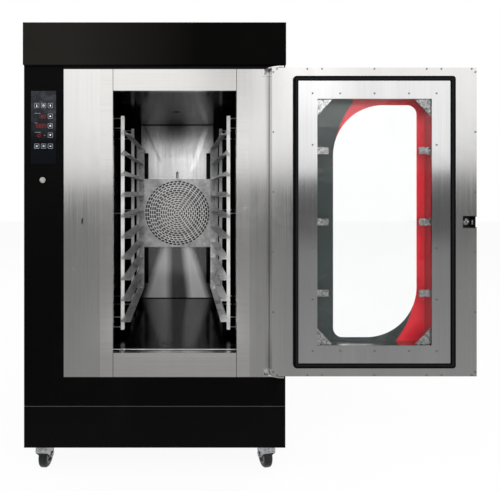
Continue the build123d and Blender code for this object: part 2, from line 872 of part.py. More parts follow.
def build_fan_guard():
    slots = []
    for ring in range(guard_ring_count):
        radius = guard_ring_radius - ring * guard_ring_pitch
        count = max(4, round(2 * math.pi * radius / guard_slot_pitch))
        width = guard_bold_width if ring in guard_bold_rings else guard_slot_width
        step = 360 / count
        for index in range(count):
            start = index * step + (step / 2 if ring % 2 else 0)
            slots.append(slot_wire(radius, width, start, start + step * guard_slot_share))
    rim = Wire.make_rect(guard_width, guard_height)
    face = facing(0, guard_y + guard_sheet, fan_height) * Face(rim, slots)
    plate = extrude(face, amount=guard_sheet, dir=(0, -1, 0))
    fold = window_ring(
        0,
        fan_height,
        guard_width,
        guard_height,
        guard_width - 2 * guard_sheet,
        guard_height - 2 * guard_sheet,
        guard_y + guard_sheet,
        fan_panel_y,
    )
    screws = [
        rod_y(screw_head_radius, x, guard_y - screw_head_height, guard_y, fan_height + z)
        for x in (-guard_width / 2 + 14, guard_width / 2 - 14)
        for z in (-guard_height / 2 + 14, guard_height / 2 - 14)
    ]
    return group([plate, fold] + screws)


def build_impeller():
    back_plate = rod_y(impeller_radius, 0, impeller_back - 3, impeller_back, fan_height)
    front_ring = rod_y(impeller_radius, 0, impeller_front, impeller_front + 2, fan_height)
    front_ring -= rod_y(impeller_eye, 0, impeller_front - 1, impeller_front + 3, fan_height)
    wheel = back_plate + front_ring
    blade_inner = impeller_eye + 4
    blade_outer = impeller_radius - 1
    blade = block(
        blade_inner, blade_outer, impeller_front + 1, impeller_back - 1, -blade_thickness / 2, blade_thickness / 2
    )
    leaned = Pos(blade_inner, 0, 0) * Rot(0, 12, 0) * Pos(-blade_inner, 0, 0) * blade
    blades = [
        Pos(0, 0, fan_height) * Rot(0, 360 * index / blade_count, 0) * leaned for index in range(blade_count)
    ]
    wheel += blades
    wheel += rod_y(24, 0, impeller_back - 32, impeller_back - 2, fan_height)
    wheel -= rod_y(shaft_radius, 0, impeller_front, impeller_back + 5, fan_height)
    shaft = rod_y(shaft_radius, 0, impeller_back - 40, shaft_end, fan_height)
    nut = rod_y(14, 0, impeller_back - 46, impeller_back - 32, fan_height)
    nut -= rod_y(shaft_radius, 0, impeller_back - 40, impeller_back, fan_height)
    return group([wheel, shaft, nut])


def build_heaters():
    legs = heater_legs(heater_leg_radius)
    rings = []
    for ring in range(heater_count):
        y = heater_first_y + heater_pitch * ring
        spread = heater_gap_angle / 2 * (1 + 0.75 * ring)
        circle = Plane.XZ * Pos(heater_radius, 0, 0) * Circle(heater_tube_radius)
        torus = Rot(90, 0, 0) * revolve(circle, Axis.Z, 360 - 2 * spread)
        torus = Pos(0, y, fan_height) * Rot(0, 90 - spread, 0) * torus
        rings.append(torus + legs[2 * ring: 2 * ring + 2])
    return group(rings)


def build_motor():
    y0 = motor_plate_y
    y1 = y0 + motor_plate_thickness
    half = motor_plate_size / 2
    plate = block(-half, half, y0, y1, fan_height - half, fan_height + half)
    plate -= rod_y(30, 0, y0 - 1, y1 + 1, fan_height)
    body = rod_y(motor_radius + 12, 0, y1, y1 + 8, fan_height)
    body += rod_y(motor_radius, 0, y1 + 8, y1 + 8 + motor_length, fan_height)
    fin = block(motor_radius - 2, motor_radius + motor_fin_height, y1 + 14, y1 + motor_length - 4, -1.2, 1.2)
    body += [
        Pos(0, 0, fan_height) * Rot(0, 360 * index / motor_fin_count, 0) * fin
        for index in range(motor_fin_count)
    ]
    body += rod_y(motor_radius + 4, 0, y1 + motor_length, y1 + motor_length + 22, fan_height)
    body += block(
        -34, 34, y1 + 30, y1 + 100, fan_height + motor_radius - 6, fan_height + motor_radius + 34
    )
    body -= rod_y(shaft_radius + running_fit, 0, y1 - 1, shaft_end + 2, fan_height)
    return group([plate, body] + motor_spacers(6))


parts["fan_panel"] = build_fan_panel()
parts["fan_guard"] = build_fan_guard()
parts["impeller"] = build_impeller()
parts["heating_elements"] = build_heaters()
parts["fan_motor"] = build_motor()


# Tray racks

def build_rack(side):
    # Drawn for the right side and mirrored for the left.
    pieces = []
    for y in (post_front_y, post_middle_y):
        pieces.append(block(rail_leg_outside, post_outside, y, y + post_depth, post_bottom, post_top))
    for z in rail_levels:
        leg = block(rail_leg_inside, rail_leg_outside, rail_front, rail_back, z, z + rail_leg_height)
        ledge = block(rail_half_gap, rail_leg_outside, rail_front, rail_back, z - rail_sheet, z)
        tab_outline = Polygon(
            (rail_leg_inside, z - rail_sheet),
            (rail_leg_outside + rail_tab_width, z - rail_sheet),
            (rail_leg_outside + rail_tab_width, z + 4),
            (rail_leg_inside, z + rail_leg_height),
            align=None,
        )
        tab = extrude(facing(0, rail_front + rail_sheet, 0) * tab_outline, amount=rail_sheet)
        pieces.append(leg + ledge + tab)
    stop_low = rail_levels[-1] - rail_sheet
    stop_high = rail_levels[0] + rail_leg_height
    stop = block(stop_inside, post_outside, rail_back, rail_back + stop_sheet, stop_low, stop_high)
    corner = stop.edges().filter_by(Axis.Y).sort_by(Axis.Z)[-2:].sort_by(Axis.X)[0]
    pieces.append(fillet(corner, stop_corner))
    rack = group(pieces)
    return rack if side > 0 else mirror(rack, Plane.YZ)


parts["left_tray_rack"] = build_rack(-1)
parts["right_tray_rack"] = build_rack(1)


# Vent and water

def build_vent():
    # A pipe from the ceiling, and a spigot that comes up through the roof from its collar below.
    collar_top = roof_top - sheet
    collar_low = collar_top - vent_collar_thickness
    pipe = rod_z(vent_radius, 0, vent_y, mouth_top + sheet, collar_low)
    spigot = rod_z(vent_radius, 0, vent_y, collar_low, vent_top)
    spigot += rod_z(vent_collar_radius, 0, vent_y, collar_low, collar_top)
    bore = rod_z(vent_radius - vent_wall, 0, vent_y, mouth_top, vent_top + 1)
    return group([pipe - bore, spigot - bore])


def build_water():
    bend = water_bend
    # The elbow is a quarter of a torus from pointing forwards to pointing down.
    profile = Pos(0, -bend, 0) * Plane.XY * Circle(water_tube_radius)
    elbow = Pos(0, water_spout_y + bend, water_height - bend) * revolve(profile, Axis.X, -90)
    spout = rod_y(water_tube_radius, 0, water_spout_y + bend, water_valve_y, water_height)
    drop = rod_z(
        water_tube_radius, 0, water_spout_y, water_height - water_spout_drop, water_height - bend
    )
    half = water_valve_size / 2
    valve_back = water_valve_y + water_valve_length
    valve = block(-half, half, water_valve_y, valve_back, water_height - half, water_height + half)
    coil_top = water_height + half + water_coil_height
    coil = rod_z(half - 3, 0, (water_valve_y + valve_back) / 2, water_height + half, coil_top)
    inlet_end = body_depth + water_inlet_reach
    inlet = rod_y(water_inlet_radius, 0, valve_back, inlet_end, water_height)
    nut_plane = facing(0, body_depth + water_nut_thickness, water_height)
    inlet += extrude(nut_plane * RegularPolygon(water_nut_radius, 6), amount=water_nut_thickness)
    inlet -= rod_y(water_inlet_radius - 3.5, 0, valve_back + 10, inlet_end + 1, water_height)
    return group([spout + elbow + drop, valve + coil, inlet])


parts["vent_pipe"] = build_vent()
parts["water_injector"] = build_water()


# Door, drawn closed

def door_screw_places():
    # Places of the window frame's screws and of the door's edge screws, as (x, z).
    half_rows = (frame_screw_rows - 1) / 2
    columns = [view_middle_z + frame_screw_z * (row - half_rows) for row in range(frame_screw_rows)]
    frame = [(side * frame_screw_x[1], z) for side in (-1, 1) for z in columns]
    for z in (columns[0], columns[-1]):
        frame += [(x, z) for x in (-frame_screw_x[0], 0.0, frame_screw_x[0])]
    middle_x = (door_left + door_right) / 2
    edge = []
    for z in (door_bottom + edge_screw_inset, door_top - edge_screw_inset):
        edge += [(middle_x + side * x, z) for x in edge_screw_x for side in ((-1, 1) if x else (1,))]
    edge_step = edge_screw_z_span / (edge_screw_rows - 1)
    middle_z = (door_bottom + door_top) / 2
    for x in (door_left + edge_screw_inset, door_right - edge_screw_inset):
        edge += [(x, middle_z + edge_step * (row - half_rows)) for row in range(edge_screw_rows)]
    return frame, edge


frame_places, edge_places = door_screw_places()


def shanks(places, y_head, clearance):
    radius = screw_shank_radius + clearance
    return [rod_y(radius, x, y_head - screw_shank_length - 6, y_head, z) for x, z in places]


def latch_notch():
    # Opening through the door's free edge and inner panel, where the latch box sits.
    box = block(
        latch_x - latch_box_width / 2 - seam,
        latch_x + latch_box_width / 2 + seam,
        latch_back - seam,
        door_inner + 1,
        latch_z - latch_box_height / 2 - seam,
        latch_z + latch_box_height / 2 + seam,
    )
    mouth = block(
        door_left - 1,
        latch_x,
        latch_back + latch_box_wall,
        door_inner + 1,
        latch_z - latch_notch_height / 2,
        latch_z + latch_notch_height / 2,
    )
    return box + mouth


def build_door_skin():
    lip_back = door_inner - sheet
    skin = block(door_left, door_right, skin_y, lip_back, door_bottom, door_top)
    skin -= block(
        door_left + sheet, door_right - sheet, skin_y + sheet, lip_back - sheet,
        door_bottom + sheet, door_top - sheet,
    )
    skin -= block(
        door_left + door_lip, door_right - door_lip, lip_back - 2 * sheet, lip_back + 1,
        door_bottom + door_lip, door_top - door_lip,
    )
    half_w = view_width / 2 + skin_window_margin
    half_h = view_height / 2 + skin_window_margin
    skin -= block(-half_w, half_w, skin_y - 1, skin_y + 5, view_middle_z - half_h, view_middle_z + half_h)
    skin -= latch_notch()
    skin -= rod_y(spindle_radius + seam, latch_x, skin_y - 1, skin_y + 5, latch_z)
    for z0, z1 in ((door_bottom - 1, door_bottom + 5), (door_top - 5, door_top + 1)):
        skin -= rod_z(hinge_pin_radius + 2 * seam, hinge_x, hinge_y, z0, z1)
    skin -= shanks(edge_places, door_inner, seam)
    return skin


def build_inner_panel():
    panel = block(
        door_left + 1, door_right - 1, door_inner - sheet, door_inner, door_bottom + 1, door_top - 1
    )
    half_w = view_width / 2
    half_h = view_height / 2
    window = block(
        -half_w, half_w, skin_y - 1, door_inner + 1, view_middle_z - half_h, view_middle_z + half_h
    )
    reveal = window_ring(
        0,
        view_middle_z,
        view_width + 2 * sheet,
        view_height + 2 * sheet,
        view_width,
        view_height,
        skin_y + seam,
        door_inner - sheet / 2,
    )
    panel = (panel + reveal) - window - latch_notch()
    panel -= shanks(edge_places, door_inner, seam)
    panel -= shanks(frame_places, door_inner + 1, seam)
    return panel


def build_window_frame():
    low = door_inner
    high = door_inner + frame_rise
    outer = rounded_plate(0, view_middle_z, frame_width, frame_height, low, high, 3.0)
    inner = rounded_plate(
        0, view_middle_z, frame_width - 2 * sheet, frame_height - 2 * sheet, low - 1, high - sheet, 2.0
    )
    window = rounded_plate(0, view_middle_z, view_width, view_height, low - 1, high + 1, 1.0)
    return outer - inner - window - shanks(frame_places, high, seam)


def build_gasket():
    inner_w = frame_width + 1
    inner_h = frame_height + 1
    low = door_inner
    high = -gasket_clearance
    outer = rounded_plate(
        0, view_middle_z, inner_w + 2 * gasket_width, inner_h + 2 * gasket_width, low, high, gasket_corner
    )
    outer = fillet(outer.faces().sort_by(Axis.Y)[-1].edges(), 3.5)
    inner = rounded_plate(0, view_middle_z, inner_w, inner_h, low - 1, high + 1, 3.0)
    return outer - inner


def clear_window_face():
    # Clear window of the glass print: two opposite corners are large and two are small.
    half_w = clear_width / 2
    half_h = clear_height / 2
    big = clear_big_radius
    small = clear_small_radius

    def corner(cx, cz, r, start):
        middle = math.radians(start + 45)
        first = math.radians(start)
        last = math.radians(start + 90)
        return Edge.make_three_point_arc(
            (cx + r * math.cos(first), cz + r * math.sin(first), 0),
            (cx + r * math.cos(middle), cz + r * math.sin(middle), 0),
            (cx + r * math.cos(last), cz + r * math.sin(last), 0),
        )

    arcs = [
        corner(half_w - big, half_h - big, big, 0),
        corner(-half_w + small, half_h - small, small, 90),
        corner(-half_w + big, -half_h + big, big, 180),
        corner(half_w - small, -half_h + small, small, 270),
    ]
    edges = []
    for index, arc in enumerate(arcs):
        following = arcs[(index + 1) % len(arcs)]
        edges.append(arc)
        edges.append(Edge.make_line(arc @ 1, following @ 0))
    return Face(Wire(edges))


def build_glass():
    left = door_left + glass_left_margin
    right = door_right - glass_right_margin
    low = door_bottom + glass_end_margin
    high = door_top - glass_end_margin
    middle = (left + right) / 2
    outer = rounded_plate(
        middle, (low + high) / 2, right - left, high - low, door_outer, door_outer + outer_glass, 4.0
    )
    width = view_width + 2 * inner_glass_lap
    height = view_height + 2 * inner_glass_lap
    inner_low = door_inner + 0.1
    inner = rounded_plate(0, view_middle_z, width, height, inner_low, inner_low + inner_glass, 3.0)
    ink = rounded_plate(
        middle, (low + high) / 2, right - left, high - low, door_outer + outer_glass, skin_y, 4.0
    )
    window = facing(clear_shift, skin_y + 1, view_middle_z) * clear_window_face()
    ink -= extrude(window, amount=print_thickness + 2, dir=(0, -1, 0))
    return group([outer, inner]), ink


def build_glass_clips():
    # Clips and corner gussets stand on the reveal, just behind the inner glass.
    front = door_inner - clip_behind
    back = front - clip_sheet
    pieces = []
    for side in (-1, 1):
        wall = side * view_width / 2
        for row in (-1, 0, 1):
            z = view_middle_z + row * clip_spacing
            low = z - clip_width / 2
            high = z + clip_width / 2
            tip = wall - side * clip_length
            foot = wall - side * clip_sheet
            tongue = block(min(wall, tip), max(wall, tip), back, front, low, high)
            leg = block(min(wall, foot), max(wall, foot), front - clip_leg, front, low, high)
            screw_x = wall - side * clip_length * 0.6
            screw = rod_y(screw_head_radius, screw_x, front, front + screw_head_height, z)
            pieces.append(tongue + leg + screw)
        for up in (-1, 1):
            end = view_middle_z + up * view_height / 2
            outline = Polygon(
                (wall - side * seam, end - up * seam),
                (wall - side * gusset_width, end - up * seam),
                (wall - side * seam, end - up * gusset_height),
                align=None,
            )
            gusset = extrude(facing(0, front, 0) * outline, amount=clip_sheet)
            screw_x = wall - side * gusset_width * 0.3
            screw_z = end - up * gusset_height * 0.3
            pieces.append(gusset + rod_y(screw_head_radius, screw_x, front, front + screw_head_height, screw_z))
    return group(pieces)


def build_door_screws():
    frame_face = door_inner + frame_rise
    pieces = []
    for places, face in ((frame_places, frame_face), (edge_places, door_inner)):
        for x, z in places:
            head = rod_y(screw_head_radius, x, face, face + screw_head_height, z)
            head = fillet(head.faces().sort_by(Axis.Y)[-1].edges(), 1.0)
            pieces.append(head + rod_y(screw_shank_radius, x, face - screw_shank_length, face, z))
    return group(pieces)


def build_bushes():
    pieces = []
    for end, up in ((door_bottom + sheet, 1), (door_top - sheet, -1)):
        far = end + up * bush_block_height
        bush = block(
            hinge_x - bush_block_left, door_right - sheet - seam,
            hinge_y - bush_block_depth / 2, hinge_y + bush_block_depth / 2,
            min(end, far), max(end, far),
        )
        bush -= rod_z(hinge_pin_radius + running_fit, hinge_x, hinge_y, min(end, far) - 1, max(end, far) + 1)
        pieces.append(bush)
    return group(pieces)


def build_hinge_brackets():
    # Each bracket is a plate on the front, a curved arm past the door's end and a pin into it.
    # A loose washer on each pin keeps the door's end off the arm.
    plate_left = steel_right - hinge_plate_width
    pieces = []
    for door_end, up in ((door_top, 1), (door_bottom, -1)):
        near = door_end + up * hinge_gap
        far = near + up * hinge_arm_thickness
        outline = Wire(
            [
                Edge.make_three_point_arc(
                    (hinge_arm_left, -hinge_plate_thickness, 0),
                    (hinge_arm_left + 18, -hinge_arm_reach * 0.66, 0),
                    (hinge_arm_right, -hinge_arm_reach, 0),
                ),
                Edge.make_line((hinge_arm_right, -hinge_arm_reach, 0), (hinge_arm_right, -1, 0)),
                Edge.make_line((hinge_arm_right, -1, 0), (hinge_arm_left, -1, 0)),
                Edge.make_line((hinge_arm_left, -1, 0), (hinge_arm_left, -hinge_plate_thickness, 0)),
            ]
        )
        arm = Pos(0, 0, min(near, far)) * extrude(Face(outline), amount=hinge_arm_thickness, dir=(0, 0, 1))
        plate_high = door_top + hinge_gap + hinge_arm_thickness if up > 0 else door_bottom + 5.5
        plate = block(
            plate_left, steel_right, -hinge_plate_thickness, 0, plate_high - hinge_plate_height, plate_high
        )
        pin_end = door_end - up * hinge_pin_depth
        pin = rod_z(hinge_pin_radius, hinge_x, hinge_y, min(near, pin_end), max(near, pin_end))
        bracket = arm + plate + pin
        head_z = plate_high - hinge_plate_height * 0.62
        for x in (plate_left + 10, steel_right - 6):
            bracket += rod_y(5, x, -hinge_plate_thickness - 2, -hinge_plate_thickness, head_z)
        washer_low = min(near - up * washer_play, door_end + up * washer_play)
        washer_high = max(near - up * washer_play, door_end + up * washer_play)
        washer = rod_z(washer_radius, hinge_x, hinge_y, washer_low, washer_high)
        washer -= rod_z(hinge_pin_radius + running_fit, hinge_x, hinge_y, washer_low - 1, washer_high + 1)
        pieces += [bracket, washer]
    return group(pieces)


def build_latch_box():
    face = door_inner + 0.5
    box = rounded_plate(
        latch_x, latch_z, latch_box_width, latch_box_height, latch_back, face, latch_box_corner
    )
    box -= rounded_plate(
        latch_x,
        latch_z,
        latch_box_width - 2 * latch_box_wall,
        latch_box_height - 2 * latch_box_wall,
        latch_back + latch_box_wall,
        face + 1,
        latch_box_corner - latch_box_wall,
    )
    bore = rod_y(spindle_radius + running_fit, latch_x, door_outer - 10, door_inner, latch_z)
    rosette = rod_y(rosette_radius, latch_x, skin_y - rosette_thickness, skin_y, latch_z)
    rosette = fillet(rosette.faces().sort_by(Axis.Y)[0].edges(), 2.0)
    return group([box - bore, rosette - bore])


def build_handle():
    # Outside lever, spindle through the door and the hook that turns behind the keeper slot.
    hub_near = skin_y - rosette_thickness - 0.3
    hub_far = hub_near - lever_standoff
    spindle_end = door_inner - 6
    spindle = rod_y(spindle_radius, latch_x, hub_far, spindle_end, latch_z)
    neck = rod_y(hook_neck_radius, latch_x, spindle_end, hook_behind, latch_z)
    bar = block(
        latch_x - hook_bar_width / 2,
        latch_x + hook_bar_width / 2,
        hook_behind,
        hook_behind + hook_bar_thickness,
        latch_z - hook_bar_length / 2,
        latch_z + hook_bar_length / 2,
    )
    cam_back = latch_back + latch_box_wall + seam
    cam = rod_y(hook_cam_radius, latch_x, cam_back, cam_back + 5, latch_z)
    cam -= block(
        latch_x + 3, latch_x + 20, cam_back - 1, cam_back + 6, latch_z + 2, latch_z + 20
    )
    hub = rod_y(lever_hub_radius, latch_x, hub_far, hub_near, latch_z)
    arm_middle = latch_z - lever_length / 2
    arm = rounded_plate(
        latch_x, arm_middle, lever_width, lever_length + lever_width, hub_far - lever_thickness, hub_far,
        lever_width / 2 - 0.01,
    )
    cap = rod_y(lever_hub_radius, latch_x, hub_far - lever_thickness, hub_far, latch_z)
    lever = fillet((arm + cap).faces().sort_by(Axis.Y)[0].edges(), 3.0)
    return group([spindle + neck + bar + cam + hub + lever])


parts["hinge_brackets"] = build_hinge_brackets()
door_glass, glass_print = build_glass()
door_parts = {
    "door_skin": build_door_skin(),
    "door_inner_panel": build_inner_panel(),
    "window_frame": build_window_frame(),
    "door_gasket": build_gasket(),
    "door_glass": door_glass,
    "glass_print": glass_print,
    "glass_clips": build_glass_clips(),
    "door_screws": build_door_screws(),
    "hinge_bushes": build_bushes(),
    "latch_box": build_latch_box(),
    "door_handle": build_handle(),
}
for name, shape in door_parts.items():
    parts[name] = turned_open(shape)


# Controls

key_places = {
    "key_top_left": (0, 0),
    "key_top_middle": (1, 0),
    "key_top_right": (2, 0),
    "key_readout_upper": (2, 1),
    "key_readout_middle": (2, 2),
    "key_readout_lower": (2, 3),
    "key_bottom_left": (0, 4),
    "key_bottom_middle": (1, 4),
    "key_bottom_right": (2, 4),
}


def build_control_glass():
    glass = rounded_plate(
        glass_x, glass_z, glass_width, glass_height, -glass_proud, glass_thickness - glass_proud, 1.0
    )
    hole_size = key_size + 2 * key_gap
    holes = [
        rounded_plate(
            glass_x + key_columns[column], glass_z + key_rows[row], hole_size, hole_size,
            -glass_proud - 1, glass_thickness,
            key_corner,
        )
        for column, row in key_places.values()
    ]
    return glass - holes


def build_key(column, row):
    x = glass_x + key_columns[column]
    z = glass_z + key_rows[row]
    front = -glass_proud - key_proud
    back = front + key_depth
    cap = rounded_plate(x, z, key_size, key_size, front, back, key_corner)
    cap = fillet(cap.faces().sort_by(Axis.Y)[0].edges(), 0.5)
    return cap + rod_y(key_stem_radius, x, back, key_switch_face() - key_switch_gap, z)


def key_switch_face():
    return board_y - 3.8


def build_board():
    half_w = glass_width / 2 + board_overhang
    half_h = glass_height / 2 + board_overhang
    board = block(
        glass_x - half_w, glass_x + half_w, board_y, board_y + board_thickness,
        glass_z - half_h, glass_z + half_h,
    )
    pieces = [board]
    for x in (glass_x - half_w + 3, glass_x + half_w - 3):
        for z in (glass_z - half_h + 3, glass_z + half_h - 3):
            pieces.append(rod_y(board_post_radius, x, sheet, board_y, z))
    half = key_switch_size / 2
    for column, row in key_places.values():
        x = glass_x + key_columns[column]
        z = glass_z + key_rows[row]
        pieces.append(block(x - half, x + half, key_switch_face(), board_y, z - half, z + half))
    display_front = glass_thickness - glass_proud + seam
    for (across, up), width in zip(display_places, display_widths):
        x = glass_x + across
        z = glass_z + up
        pieces.append(
            block(
                x - width / 2, x + width / 2, display_front, board_y,
                z - display_height / 2, z + display_height / 2,
            )
        )
    return group(pieces)


def build_button_bezel():
    flange = rod_y(button_bezel_radius, button_x, -button_bezel_proud, 0, button_z)
    flange = fillet(flange.faces().sort_by(Axis.Y)[0].edges(), 1.0)
    barrel = rod_y(button_barrel_radius, button_x, 0, button_barrel_length, button_z)
    bore = rod_y(button_radius + seam, button_x, -button_bezel_proud - 1, button_barrel_length - 4, button_z)
    nut_plane = facing(button_x, sheet + button_nut_thickness, button_z)
    nut = extrude(nut_plane * RegularPolygon(button_nut_radius, 6), amount=button_nut_thickness)
    nut -= rod_y(button_barrel_radius, button_x, 0, button_barrel_length, button_z)
    return group([(flange + barrel) - bore, nut])


def build_button():
    back = button_barrel_length - 4 - button_travel - seam
    cap = rod_y(button_radius, button_x, -button_proud, back, button_z)
    return fillet(cap.faces().sort_by(Axis.Y)[0].edges(), 1.2)


parts["control_glass"] = build_control_glass()
parts["control_board"] = build_board()
parts["button_bezel"] = build_button_bezel()
parts["power_button"] = build_button()
for name, (column, row) in key_places.items():
    parts[name] = build_key(column, row)


# Casters

def caster_places():
    left = chassis_left + caster_inset_x
    right = chassis_right - caster_inset_x
    front = chassis_front + caster_inset_y
    back = chassis_back - caster_inset_y
    return {
        "front_left": (left, front, caster_swivels[0]),
        "front_right": (right, front, caster_swivels[1]),
        "rear_left": (left, back, caster_swivels[2]),
        "rear_right": (right, back, caster_swivels[3]),
    }


plate_bottom = caster_top - caster_plate_thickness
race_split = plate_bottom - race_height / 2
crown_top = plate_bottom - race_height
crown_bottom = crown_top - fork_sheet
leg_inner = wheel_width / 2 + fork_side_gap
leg_outer = leg_inner + fork_sheet


def build_caster_plate():
    # Drawn over the swivel axis: mounting plate, fixed half of the race and the kingpin.
    half_x = caster_plate_x / 2
    half_y = caster_plate_y / 2
    plate = block(-half_x, half_x, -half_y, half_y, plate_bottom, caster_top)
    race = rod_z(race_radius + 2, 0, 0, race_split + race_play / 2, plate_bottom)
    pin = rod_z(kingpin_radius, 0, 0, crown_bottom - race_play, plate_bottom)
    pin_head = rod_z(kingpin_radius + 3, 0, 0, crown_bottom - race_play - 4, crown_bottom - race_play)
    return plate + race + pin + pin_head


def build_fork():
    # Drawn over the swivel axis, with the axle along X and the wheel behind the axis.
    front = -race_radius + 2
    crown = block(-leg_outer, leg_outer, front, caster_trail + 10, crown_bottom, crown_top)
    race = rod_z(race_radius, 0, 0, crown_top, race_split - race_play / 2)
    side_plane = Plane(origin=(0, 0, 0), x_dir=(0, 1, 0), z_dir=(1, 0, 0))
    leg_outline = Polygon(
        (front, crown_top),
        (front, crown_top - fork_apron_drop),
        (caster_trail - 11, wheel_radius - 7),
        (caster_trail + 11, wheel_radius - 7),
        (caster_trail + 16, crown_bottom - 14),
        (caster_trail + 10, crown_top),
        align=None,
    )
    outline = leg_outline + Pos(caster_trail, wheel_radius) * Circle(13)
    leg = extrude(side_plane * outline, amount=fork_sheet)
    apron = block(-leg_inner, leg_inner, front, front + fork_sheet, crown_top - fork_apron_drop, crown_bottom)
    fork = crown + race + apron
    fork += [Pos(leg_inner, 0, 0) * leg, Pos(-leg_outer, 0, 0) * leg]
    fork -= rod_z(kingpin_radius + running_fit, 0, 0, crown_bottom - 1, race_split + 1)
    fork -= rod_x(axle_radius, -leg_outer - 1, leg_outer + 1, caster_trail, wheel_radius)
    axle = rod_x(axle_radius, -leg_outer - 1, leg_outer + 1, caster_trail, wheel_radius)
    for side in (-1, 1):
        inner = side * leg_outer
        outer = side * (leg_outer + axle_head_height)
        axle += rod_x(axle_head_radius, min(inner, outer), max(inner, outer), caster_trail, wheel_radius)
    return group([fork, axle])


def build_wheel():
    half = wheel_width / 2
    tyre = rod_x(wheel_radius, -half, half, caster_trail, wheel_radius)
    tyre = fillet(tyre.edges().filter_by(GeomType.CIRCLE), wheel_round)
    tyre -= rod_x(wheel_hub_radius, -half - 1, half + 1, caster_trail, wheel_radius)
    hub_radius = wheel_hub_radius - running_fit
    hub = rod_x(hub_radius, -half, half, caster_trail, wheel_radius)
    for side in (-1, 1):
        outer = side * (half + 1)
        inner = side * (half - 8)
        groove = rod_x(hub_radius - 5, min(inner, outer), max(inner, outer), caster_trail, wheel_radius)
        groove -= rod_x(14, min(inner, outer), max(inner, outer), caster_trail, wheel_radius)
        hub -= groove
        boss = side * (half + fork_side_gap - 2 * seam)
        hub += rod_x(12, min(side * half, boss), max(side * half, boss), caster_trail, wheel_radius)
    hub -= rod_x(axle_radius + running_fit, -half - 9, half + 9, caster_trail, wheel_radius)
    return group([tyre, hub])


caster_plate = build_caster_plate()
fork = build_fork()
wheel = build_wheel()
plates = []
for name, (x, y, swivel) in caster_places().items():
    place = Pos(x, y, 0) * Rot(0, 0, swivel)
    plates.append(Pos(x, y, 0) * caster_plate)
    parts[f"{name}_fork"] = place * fork
    parts[f"{name}_wheel"] = place * wheel
parts["caster_plates"] = group(plates)


# Origin under the middle of the footprint

box = Compound(children=[solid for shape in parts.values() for solid in shape.solids()]).bounding_box()
origin_x = (box.min.X + box.max.X) / 2
origin_y = (box.min.Y + box.max.Y) / 2
origin_z = box.min.Z
to_origin = Pos(-origin_x, -origin_y, -origin_z)

os.makedirs("parts", exist_ok=True)
for name, shape in parts.items():
    export_step(to_origin * shape, f"parts/{name}.step")
print(f"{len(parts)} nodes")
print(f"cavity middle, front face and floor lie at {-origin_x:.3f} {-origin_y:.3f} {-origin_z:.3f}")
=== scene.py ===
import bpy
import bmesh
import json
import math
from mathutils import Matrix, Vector


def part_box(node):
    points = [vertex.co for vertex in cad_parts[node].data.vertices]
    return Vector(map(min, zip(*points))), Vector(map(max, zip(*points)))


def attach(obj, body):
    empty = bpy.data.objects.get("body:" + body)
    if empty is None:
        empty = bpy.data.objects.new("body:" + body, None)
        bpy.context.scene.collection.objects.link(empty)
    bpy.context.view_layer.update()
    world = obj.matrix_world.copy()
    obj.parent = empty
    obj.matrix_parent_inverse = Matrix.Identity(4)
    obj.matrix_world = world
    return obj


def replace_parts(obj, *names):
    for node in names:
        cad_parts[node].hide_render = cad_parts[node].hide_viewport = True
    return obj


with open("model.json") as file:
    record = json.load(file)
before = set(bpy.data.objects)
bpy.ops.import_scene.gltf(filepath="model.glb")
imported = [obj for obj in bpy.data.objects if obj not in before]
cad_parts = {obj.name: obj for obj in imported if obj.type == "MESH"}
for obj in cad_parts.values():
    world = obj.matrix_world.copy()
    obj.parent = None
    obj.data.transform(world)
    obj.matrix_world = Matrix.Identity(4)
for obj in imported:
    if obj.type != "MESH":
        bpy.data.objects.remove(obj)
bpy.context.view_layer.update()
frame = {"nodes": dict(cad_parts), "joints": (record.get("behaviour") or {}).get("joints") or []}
nodes = frame["nodes"]
print("frame loaded with", len(nodes), "nodes")


def middleOf(node):
    low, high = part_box(node)
    return (low + high) / 2


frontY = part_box("front_frame")[0].y  # face of the stainless front
cavityX = middleOf("cavity_floor").x  # middle of the cooking cavity

# Camera, at the photograph's place in front of the mouth

photoCamera = {
    "right": 0.031, "away": 1.68, "height": 1.145, "lens": 30.24, "shiftX": 0.135, "shiftY": -0.107,
    "sensor": 36, "clip": (0.05, 60),
}
cameraData = bpy.data.cameras.new("photoCamera")
cameraData.lens = photoCamera["lens"]
cameraData.sensor_width = photoCamera["sensor"]
cameraData.sensor_fit = "HORIZONTAL"
cameraData.shift_x = photoCamera["shiftX"]
cameraData.shift_y = photoCamera["shiftY"]
cameraData.clip_start, cameraData.clip_end = photoCamera["clip"]
cameraObject = bpy.data.objects.new("photoCamera", cameraData)
cameraObject.location = (cavityX + photoCamera["right"], frontY - photoCamera["away"], photoCamera["height"])
cameraObject.rotation_euler = (math.radians(90), 0, 0)
bpy.context.scene.collection.objects.link(cameraObject)
bpy.context.scene.camera = cameraObject
bpy.context.scene.view_settings.view_transform = "Standard"


# Small helpers for shader trees

def connect(tree, socket, value):
    # Another node's output is linked, and a plain value is set.
    if isinstance(value, bpy.types.NodeSocket):
        tree.links.new(value, socket)
    else:
        socket.default_value = value


def addNode(tree, kind, inputs=None, **settings):
    node = tree.nodes.new(kind)
    for key, value in settings.items():
        setattr(node, key, value)
    for key, value in (inputs or {}).items():
        connect(tree, node.inputs[key], value)
    return node


def useGroup(tree, group, **inputs):
    return addNode(tree, "ShaderNodeGroup", inputs, node_tree=group).outputs


def doMath(tree, operation, first, second=0.0):
    return addNode(tree, "ShaderNodeMath", {0: first, 1: second}, operation=operation).outputs[0]


def minus(tree, first, second):
    return doMath(tree, "SUBTRACT", first, second)


def larger(tree, first, second):
    return doMath(tree, "MAXIMUM", first, second)


def isAbove(tree, value, limit):
    return doMath(tree, "GREATER_THAN", value, limit)


def times(tree, *factors):
    total = factors[0]
    for factor in factors[1:]:
        total = doMath(tree, "MULTIPLY", total, factor)
    return total


def inverse(tree, mask):
    return minus(tree, 1.0, mask)


